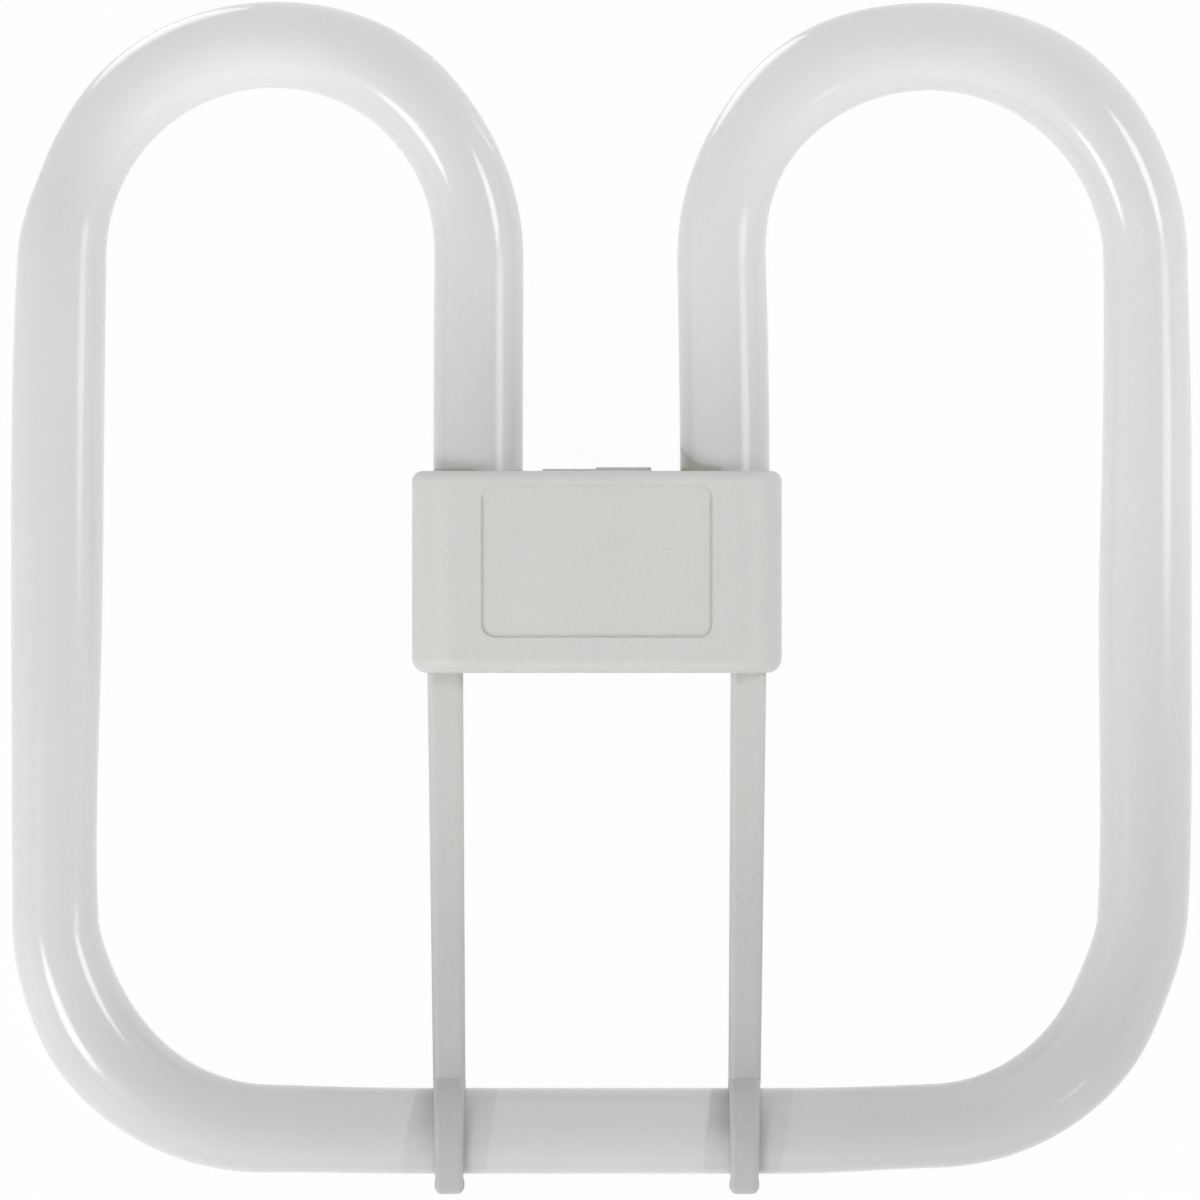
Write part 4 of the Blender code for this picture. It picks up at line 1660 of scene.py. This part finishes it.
    def fair(self, axis: Point) -> None:
        """Thicken the clip being edited towards its tip, until its outside runs into the lip's.

        Args:
            axis: A place on the rail's axis.
        """
        mid_radius = self.clip_inner + self.clip_thickness / 2
        growth = 2 * self.lip_radius - self.clip_thickness - self.fairing_relief
        for share in shares(self.clip_steps):
            angle = self.clip_start + (self.clip_end - self.clip_start) * share
            if angle > self.fairing_start:
                continue
            out = Vector((0.0, math.sin(angle), math.cos(angle)))
            along = Vector((0.0, math.cos(angle), -math.sin(angle)))
            Bench.pick(
                Element.VERTICES,
                lambda v: abs((v.co - Vector(axis)).dot(along)) < self.section_slack
                and (v.co - Vector(axis)).dot(out) > mid_radius,
            )
            move = ease(0.0, growth, (self.fairing_start - angle) / (self.fairing_start - self.clip_end))
            bpy.ops.transform.translate(value=tuple(out * move))

    def lip(self, side: Side) -> bpy.types.Object:
        """The rounded bead along a clip's tip, by which it is pushed off the rail.

        Args:
            side: Which clip.

        Returns:
            The bead.
        """
        reach = self.clip_inner + self.lip_radius
        start = side.value * self.layout.clip_spread - self.clip_tip_width / 2
        place = self.rail_at(start, reach * math.sin(self.clip_end), reach * math.cos(self.clip_end))
        lip = Bench.bar("lip", self.lip_radius, place, self.clip_tip_width, Axis.X, self.lip_sides)
        left, right = flat(Axis.X, place[0]), flat(Axis.X, place[0] + self.clip_tip_width)
        with Bench.editing(lip):
            Bench.pick(Element.EDGES, lambda e: left(e) or right(e))
            Bench.round_off(self.lip_corner, self.lip_segments)
        return lip

    def label_panel(self) -> bpy.types.Object:
        """The cutter of the shallow label panel, with its corners and its floor's edge rounded.

        Returns:
            The cutter.
        """
        half_x, half_y = self.label_width / 2, self.label_height / 2
        face, floor = self.size.half_depth, self.size.half_depth - self.label_depth
        panel = self.box(
            "label_panel",
            (-half_x, self.label_rise - half_y, floor),
            (half_x, self.label_rise + half_y, face),
        )
        bottom, top = self.at(0.0, 0.0, floor)[2], self.at(0.0, 0.0, face)[2]
        with Bench.editing(panel):
            Bench.pick(Element.EDGES, runs(Axis.Z))
            Bench.round_off(self.label_corner, self.label_segments)
            Bench.pick(Element.FACES, flat(Axis.Z, top))
            Bench.extrude((0.0, 0.0, self.layout.overcut))
            flare = self.label_draft * self.layout.overcut
            wide = (half_x + flare) / half_x, (half_y + flare) / half_y, 1.0
            Bench.resize(wide, self.at(0.0, self.label_rise, 0.0))
            Bench.pick(Element.EDGES, flat(Axis.Z, bottom))
            Bench.round_off(self.label_edge, self.label_edge_segments)
        return panel

    def label_line(self) -> bpy.types.Object:
        """The cutter of the fine line at the panel's foot, on its two sides and its lower edge.

        Returns:
            The cutter.
        """
        half_x = self.label_width / 2 - self.label_line_inset
        low = self.label_rise - self.label_height / 2 + self.label_line_inset
        high = self.label_rise + self.label_height / 2 - self.label_corner
        deep = self.size.half_depth - self.label_depth - self.label_line_depth
        above = self.size.half_depth + self.layout.overcut
        round_radius = self.label_corner - self.label_line_inset
        line = self.box("label_line", (-half_x, low, deep), (half_x, high, above))
        self.round_feet(line, round_radius)
        inner_x, inner_low = half_x - self.label_line_width, low + self.label_line_width
        past = self.layout.overcut
        ends = (-inner_x, inner_low, deep - past), (inner_x, high + past, above + past)
        core = self.box("label_core", *ends)
        self.round_feet(core, round_radius - self.label_line_width)
        Bench.combine(line, core, Join.CUT)
        return line

    def round_feet(self, block: bpy.types.Object, radius: float) -> None:
        """Round the two lower upright edges of a cutter on the cap's face.

        Args:
            block: The cutter.
            radius: The round's radius.
        """
        middle = self.at(0.0, self.label_rise, 0.0)[1]
        with Bench.editing(block):
            Bench.pick(Element.EDGES, runs(Axis.Z), lambda e: all(v.co.y < middle for v in e.verts))
            Bench.round_off(radius, self.label_segments)


@dataclass
class RearHousing(CapShell):
    """The rear shell with its top ledge and the well that takes the lampholder.

    Ledge ease is the round on the ledge's edges as a share of how far it stands out, and edge
    share that of the key and of the latch windows as a share of their size.
    """

    facing: Facing = Facing.REAR
    ledge_width: float = 0.0189
    ledge_step: float = -0.0002
    ledge_low: float = 0.0004
    ledge_proud: float = 0.0007
    ledge_depth: float = 0.006
    ledge_ease: float = 1 / 3
    skirt_depth: float = 0.009
    skirt_wall: float = 0.002
    skirt_corner: float = 0.003
    rim_round: float = 0.0004
    well_half_x: float = 0.0125
    well_half_y: float = 0.0105
    well_chamfer: float = 0.0005
    key_size: float = 0.002
    latch_width: float = 0.008
    latch_height: float = 0.0022
    latch_rim: float = 0.002
    edge_share: float = 1 / 6
    pin_hole_radius: float = 0.001475
    corner_segments: int = 8
    rim_segments: int = 3
    edge_segments: int = 4

    def build(self) -> bpy.types.Object:
        """Model the moulding.

        Returns:
            The rear housing, which stands for its CAD node.
        """
        s = self.size
        body = self.shell("cap_rear")
        self.furnish(body)
        for start, end, proud in (
            (-self.ledge_width / 2, self.ledge_step + self.layout.root, self.ledge_low),
            (self.ledge_step, self.ledge_width / 2, self.ledge_proud),
        ):
            Bench.combine(body, self.ledge(start, end, proud), Join.ADD)
        Bench.combine(body, self.skirt(), Join.ADD)
        Bench.combine(body, self.well(), Join.CUT)
        Bench.combine(body, self.key(), Join.ADD)
        for side in Side:
            Bench.combine(body, self.latch_window(side), Join.CUT)
        self.seat_legs(body)
        for x, y in self.post_places():
            deep = s.peg_length + self.layout.part_gap
            radius = s.peg_radius + self.layout.part_gap
            socket = Bench.bar(
                "socket", radius, self.at(x, y, -deep), deep + self.layout.overcut, Axis.Z, s.round_sides
            )
            Bench.combine(body, socket, Join.CUT)
        for x in (-s.pin_pitch / 2, s.pin_pitch / 2):
            for y in (-s.pin_pitch / 2, s.pin_pitch / 2):
                Bench.combine(body, self.pin_hole(x, y), Join.CUT)
        Bench.smooth(body, self.size.crease)
        return dress(body, self.material, "housing_rear")

    @property
    def rim(self) -> float:
        """The well's rim, from the middle of the cap."""
        return -self.size.half_depth - self.skirt_depth

    def ledge(self, start: float, end: float, proud: float) -> bpy.types.Object:
        """One step of the ledge on the top wall, with its edges eased.

        Args:
            start: Its left end.
            end: Its right end.
            proud: How far it stands out of the wall.

        Returns:
            The step.
        """
        s = self.size
        front = -self.layout.part_gap / 2 - self.layout.rib_relief
        ledge = self.box(
            "ledge",
            (start, s.half_height - s.wall / 2, front - self.ledge_depth),
            (end, s.half_height + proud, front),
        )
        top = self.at(0.0, s.half_height + proud, 0.0)[1]
        with Bench.editing(ledge):
            Bench.pick(Element.EDGES, flat(Axis.Y, top))
            Bench.round_off(proud * self.ledge_ease, self.rim_segments)
        return ledge

    def skirt(self) -> bpy.types.Object:
        """The wall round the well as a block, with its corners and its rim rounded.

        Returns:
            The block.
        """
        half_x, half_y = self.well_half_x + self.skirt_wall, self.well_half_y + self.skirt_wall
        skirt = self.box(
            "skirt",
            (-half_x, -half_y, self.rim),
            (half_x, half_y, -self.size.half_depth + self.layout.root),
        )
        rim = self.at(0.0, 0.0, self.rim)[2]
        with Bench.editing(skirt):
            Bench.pick(Element.EDGES, runs(Axis.Z))
            Bench.round_off(self.skirt_corner, self.corner_segments)
            Bench.pick(Element.EDGES, flat(Axis.Z, rim))
            Bench.round_off(self.rim_round, self.rim_segments)
        return skirt

    def well(self) -> bpy.types.Object:
        """The cutter of the well, which flares at the rim.

        Returns:
            The cutter.
        """
        half_x, half_y = self.well_half_x, self.well_half_y
        mouth = self.rim + self.well_chamfer
        well = self.box(
            "well",
            (-half_x, -half_y, mouth),
            (half_x, half_y, -self.size.half_depth + self.layout.rib_relief),
        )
        level = self.at(0.0, 0.0, mouth)[2]
        with Bench.editing(well):
            Bench.pick(Element.EDGES, runs(Axis.Z))
            Bench.round_off(self.skirt_corner - self.skirt_wall, self.corner_segments)
            Bench.pick(Element.FACES, flat(Axis.Z, level))
            Bench.extrude((0.0, 0.0, -2 * self.well_chamfer))
            flare = 2 * self.well_chamfer
            wide = ((half_x + flare) / half_x, (half_y + flare) / half_y, 1.0)
            Bench.resize(wide, self.at(0.0, 0.0, 0.0))
        return well

    def key(self) -> bpy.types.Object:
        """The key rib down the well's lower wall, with its free edges eased.

        Returns:
            The rib.
        """
        half, free = self.key_size / 2, -self.well_half_y + self.key_size
        key = self.box(
            "key",
            (-half, -self.well_half_y - self.skirt_wall / 2, self.rim + self.key_size),
            (half, free, -self.size.half_depth + self.layout.root),
        )
        with Bench.editing(key):
            Bench.pick(Element.EDGES, flat(Axis.Y, self.at(0.0, free, 0.0)[1]), runs(Axis.Z))
            Bench.round_off(self.key_size * self.edge_share, self.edge_segments)
        return key

    def latch_window(self, side: Side) -> bpy.types.Object:
        """The cutter of the window that the lampholder's latch snaps into.

        Args:
            side: The side of the well that it is in.

        Returns:
            The cutter.
        """
        low, high = self.rim + self.latch_rim, self.rim + self.latch_rim + self.latch_height
        inner = self.well_half_x - self.layout.overcut
        outer = self.well_half_x + self.skirt_wall + self.layout.overcut
        window = self.box(
            "latch_window",
            (side.value * inner, -self.latch_width / 2, low),
            (side.value * outer, self.latch_width / 2, high),
        )
        with Bench.editing(window):
            Bench.pick(Element.EDGES, runs(Axis.X))
            Bench.round_off(self.latch_height * self.edge_share, self.edge_segments)
        return window

    def pin_hole(self, x: float, y: float) -> bpy.types.Object:
        """The cutter of one pin's hole through the shell's back.

        Args:
            x: The hole's X from the middle of the cap.
            y: Its Y from there.

        Returns:
            The cutter.
        """
        start = self.at(x, y, -self.size.half_depth - self.layout.overcut)
        length = self.size.wall + 2 * self.layout.overcut
        return Bench.bar("pin_hole", self.pin_hole_radius, start, length, Axis.Z, self.size.round_sides)


@dataclass
class ContactPins:
    """Four turned pins: a round tip, a shank through the shell, a flange and a hollow tail."""

    layout: Layout
    material: bpy.types.Material
    size: CapSize = CapSize()
    radius: float = 0.001175
    reach: float = 0.007
    flange_radius: float = 0.002
    flange_thickness: float = 0.0008
    tail_radius: float = 0.0012
    tail_length: float = 0.003
    bore_radius: float = 0.0006
    bore_depth: float = 0.004
    tip_round: float = 0.00115
    tip_segments: int = 8
    sides: int = 48

    def places(self) -> dict[str, tuple[float, float]]:
        """Where each pin stands, from the middle of the cap.

        Returns:
            The X and Y of each pin by its name.
        """
        half = self.size.pin_pitch / 2
        return {
            "upper_left": (-half, half),
            "upper_right": (half, half),
            "lower_left": (-half, -half),
            "lower_right": (half, -half),
        }

    def pin(self) -> bpy.types.Object:
        """Turn one pin about the middle of the cap.

        Returns:
            The pin.
        """
        middle = (self.layout.cap_x, self.layout.cap_y)
        tip = self.layout.tube_plane - self.size.half_depth - self.reach
        shank = self.reach + self.size.wall + self.layout.part_gap
        pin = Bench.bar("pin", self.radius, (*middle, tip), shank, Axis.Z, self.sides)
        with Bench.editing(pin):
            top = tip + shank
            Bench.pick(Element.FACES, flat(Axis.Z, top))
            radius = self.radius
            for rise, wide in (
                (0.0, self.flange_radius),
                (self.flange_thickness, self.flange_radius),
                (0.0, self.tail_radius),
                (self.tail_length, self.tail_radius),
                (0.0, self.bore_radius),
                (-self.bore_depth, self.bore_radius),
            ):
                Bench.extrude((0.0, 0.0, rise))
                Bench.resize((wide / radius, wide / radius, 1.0), (*middle, top))
                radius = wide
            Bench.pick(Element.EDGES, flat(Axis.Z, tip))
            Bench.round_off(self.tip_round, self.tip_segments)
        return pin

    def build(self) -> list[bpy.types.Object]:
        """Turn one pin and stand a copy at each corner of the square.

        Returns:
            The pins, each of which stands for its CAD node.
        """
        model = self.pin()
        pins = []
        for place, (x, y) in self.places().items():
            pin = Bench.copy(model, f"pin_{place}", (x, y, 0.0))
            Bench.smooth(pin, self.size.crease)
            pins.append(dress(pin, self.material, f"contact_pin_{place}"))
        bpy.data.objects.remove(model, do_unlink=True)
        return pins


def dress(
    piece: bpy.types.Object, material: bpy.types.Material, node: str
) -> bpy.types.Object:
    """Give a finished piece its material, and let it stand for its CAD node.

    Args:
        piece: The finished piece.
        material: Its finish.
        node: The CAD node that it stands for.

    Returns:
        The piece.
    """
    piece.data.materials.clear()
    piece.data.materials.append(material)
    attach(piece, "root")
    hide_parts(node)
    LOG.info("%s: %d faces, stands for %s", piece.name, len(piece.data.polygons), node)
    return piece


@dataclass(frozen=True)
class StripLight:
    """A soft oval light that runs between two places and shines at the lamp, or at its own aim."""

    name: str
    start: Point
    end: Point
    breadth: float
    radiance: float
    diffuse: bool = True
    glossy: bool = True
    aim: Optional[Point] = None

    def place(self, middle_of_lamp: Point) -> None:
        """Hang the strip.

        Args:
            middle_of_lamp: Where it shines unless it has an aim of its own.
        """
        target = Vector(self.aim or middle_of_lamp)
        start, end = Vector(self.start), Vector(self.end)
        length = (end - start).length
        light = bpy.data.lights.new(self.name, "AREA")
        light.shape = "ELLIPSE"
        light.size = length
        light.size_y = self.breadth
        light.energy = self.radiance * math.pi * length * self.breadth * math.pi / 4
        along = (end - start).normalized()
        middle = (start + end) / 2
        back = (middle - target).normalized()
        back = (back - along * back.dot(along)).normalized()
        across = back.cross(along)
        turn = Matrix((along, across, back)).transposed().to_4x4()
        piece = bpy.data.objects.new(self.name, light)
        piece.matrix_world = Matrix.Translation(middle) @ turn
        piece.visible_camera = False
        piece.visible_diffuse = self.diffuse
        piece.visible_glossy = self.glossy
        bpy.context.scene.collection.objects.link(piece)


@dataclass
class Studio:
    """The pale floor, the soft light and the camera that looks straight down.

    Sky top is the height at which the sky is as dim as overhead, and key spread how near to the
    key's middle its glow starts, both as cosines. The key's azimuth and zenith are in degrees.
    """

    target: Point = (-0.00026, -0.00035, 0.01965)
    view_width: float = 0.2083
    camera_height: float = 2.6
    sensor: float = 36.0
    floor_size: float = 6.0
    floor_colour: Point = (0.92, 0.92, 0.92)
    floor_roughness: float = 0.9
    floor_glow: float = 0.965
    sky_overhead: float = 0.23
    sky_horizon: float = 1.08
    sky_top: float = 0.95
    key_azimuth: float = 240.0
    key_zenith: float = 60.0
    key_spread: float = 0.3
    key_glow: float = 0.32
    far_clip: float = 20.0
    strips: tuple[StripLight, ...] = (
        StripLight(
            "overhead_fill", (-0.10, 0.11, 0.32), (0.10, 0.11, 0.32),
            breadth=0.16, radiance=1.5, glossy=False,
        ),
        StripLight(
            "left_fill", (-0.30, -0.16, 0.16), (-0.30, 0.06, 0.16),
            breadth=0.12, radiance=0.37, glossy=False,
        ),
        StripLight(
            "right_fill", (0.89, 0.035, 0.46), (0.70, 0.12, 0.52),
            breadth=0.24, radiance=3.2, glossy=False,
        ),
        StripLight(
            "right_strip", (0.93, 0.05, 0.42), (0.55, 0.05, 0.57),
            breadth=0.10, radiance=3.6, diffuse=False,
        ),
        StripLight(
            "upper_right_panel", (0.69, 0.13, 0.55), (0.52, 0.38, 0.55),
            breadth=0.22, radiance=7.0,
        ),
        StripLight(
            "lower_left_fill", (-0.45, -0.26, 0.50), (-0.27, -0.46, 0.50),
            breadth=0.26, radiance=7.0, glossy=False,
        ),
        StripLight(
            "lower_left_panel", (-0.53, -0.08, 0.50), (-0.38, -0.38, 0.50),
            breadth=0.20, radiance=7.0, diffuse=False,
        ),
        StripLight(
            "left_bend_card", (-0.1049, 0.1019, 0.011), (-0.0635, 0.1239, 0.011),
            breadth=0.015, radiance=2.0, diffuse=False, aim=(-0.0694, 0.0863, 0.051),
        ),
        StripLight(
            "right_bend_card", (0.0012, 0.0904, 0.011), (0.0278, 0.1134, 0.011),
            breadth=0.015, radiance=2.0, diffuse=False, aim=(0.0361, 0.0823, 0.051),
        ),
        StripLight(
            "lower_right_lamp", (0.42, -0.60, 0.62), (0.50, -0.55, 0.62),
            breadth=0.07, radiance=6.0,
        ),
    )

    def build(self) -> None:
        """Set the floor, the sky, the strips and the camera."""
        self.floor()
        self.sky()
        for strip in self.strips:
            strip.place(self.target)
        self.camera()

    def floor(self) -> None:
        """A plain pale floor that the camera sees as white, with the lamp's soft shadow on it."""
        Bench.clear()
        bpy.ops.mesh.primitive_plane_add(size=self.floor_size)
        floor = Bench.settle("floor")
        material = bpy.data.materials.new("floor_paper")
        material.use_nodes = True
        graph = Graph(material.node_tree)
        shader = material.node_tree.nodes["Principled BSDF"]
        output = material.node_tree.nodes["Material Output"]
        graph.feed(shader.inputs["Base Color"], (*self.floor_colour, 1.0))
        graph.feed(shader.inputs["Roughness"], self.floor_roughness)
        graph.feed(shader.inputs["Specular IOR Level"], 0.0)
        glow = graph.add("ShaderNodeEmission", {"Color": (1.0, 1.0, 1.0, 1.0), "Strength": 1.0})
        path = graph.add("ShaderNodeLightPath").outputs
        seen = graph.math("MAXIMUM", path["Is Camera Ray"], path["Is Glossy Ray"])
        seen = graph.math("MAXIMUM", seen, path["Is Transmission Ray"])
        mix = graph.add("ShaderNodeMixShader", {0: graph.math("MULTIPLY", seen, self.floor_glow)})
        graph.feed(mix.inputs[1], shader.outputs[0])
        graph.feed(mix.inputs[2], glow.outputs[0])
        graph.feed(output.inputs["Surface"], mix.outputs[0])
        floor.data.materials.append(material)

    def sky(self) -> None:
        """A sky that is dimmer overhead and glows from the lower left, white wherever it is seen."""
        world = bpy.data.worlds.new("studio")
        world.use_nodes = True
        bpy.context.scene.world = world
        graph = Graph(world.node_tree)
        background = world.node_tree.nodes["Background"]
        direction = graph.add("ShaderNodeTexCoord").outputs["Generated"]
        height = graph.add("ShaderNodeSeparateXYZ", {0: direction}).outputs["Z"]
        azimuth, zenith = math.radians(self.key_azimuth), math.radians(self.key_zenith)
        flat_reach = math.sin(zenith)
        key = (flat_reach * math.cos(azimuth), flat_reach * math.sin(azimuth), math.cos(zenith))
        facing = graph.add(
            "ShaderNodeVectorMath", {0: direction, 1: key}, operation="DOT_PRODUCT"
        ).outputs["Value"]
        strength = graph.math(
            "ADD",
            graph.span(height, 0.0, self.sky_top, self.sky_horizon, self.sky_overhead),
            graph.span(facing, self.key_spread, 1.0, 0.0, self.key_glow),
        )
        path = graph.add("ShaderNodeLightPath").outputs
        seen = graph.math("MAXIMUM", path["Is Camera Ray"], path["Is Transmission Ray"])
        graph.feed(background.inputs["Color"], (1.0, 1.0, 1.0, 1.0))
        graph.feed(
            background.inputs["Strength"],
            graph.math("ADD", graph.math("MULTIPLY", strength, graph.math("SUBTRACT", 1.0, seen)), seen),
        )

    def camera(self) -> None:
        """A long lens straight above the lamp."""
        data = bpy.data.cameras.new("camera")
        data.sensor_width = self.sensor
        data.sensor_fit = "HORIZONTAL"
        data.lens = self.sensor * self.camera_height / self.view_width
        data.clip_end = self.far_clip
        camera = bpy.data.objects.new("camera", data)
        camera.location = Vector(self.target) + Vector((0.0, 0.0, self.camera_height))
        bpy.context.scene.collection.objects.link(camera)
        bpy.context.scene.camera = camera
        bpy.context.scene.view_settings.view_transform = "Standard"


def dress_nodes(frame: dict, finishes: dict[str, bpy.types.Material]) -> None:
    """Give the CAD nodes that stay their own finishes.

    Args:
        finishes: A material for each start of a node's name.
    """
    for name, node in frame["nodes"].items():
        for start, material in finishes.items():
            if name.startswith(start):
                node.data.materials.clear()
                node.data.materials.append(material)
                LOG.info("%s: kept, finished as %s", name, material.name)


def main() -> None:
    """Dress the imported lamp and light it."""
    logging.basicConfig(level=logging.INFO, format="%(message)s")
    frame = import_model()
    groups = Groups()
    plastic = MouldedPlastic().make(groups)
    layout = Layout()
    pieces = [
        DischargeTube(layout, PhosphorGlass().make(groups)).build(),
        FrontHousing(layout, plastic).build(),
        RearHousing(layout, plastic).build(),
        *ContactPins(layout, TurnedBrass().make(groups)).build(),
    ]
    LOG.info("%d pieces stand for CAD nodes", len(pieces))
    dress_nodes(
        frame, {"lead_wire": TinnedWire().make(groups), "cement_ring": LampCement().make(groups)}
    )
    Studio().build()


if __name__ == "__main__":
    main()
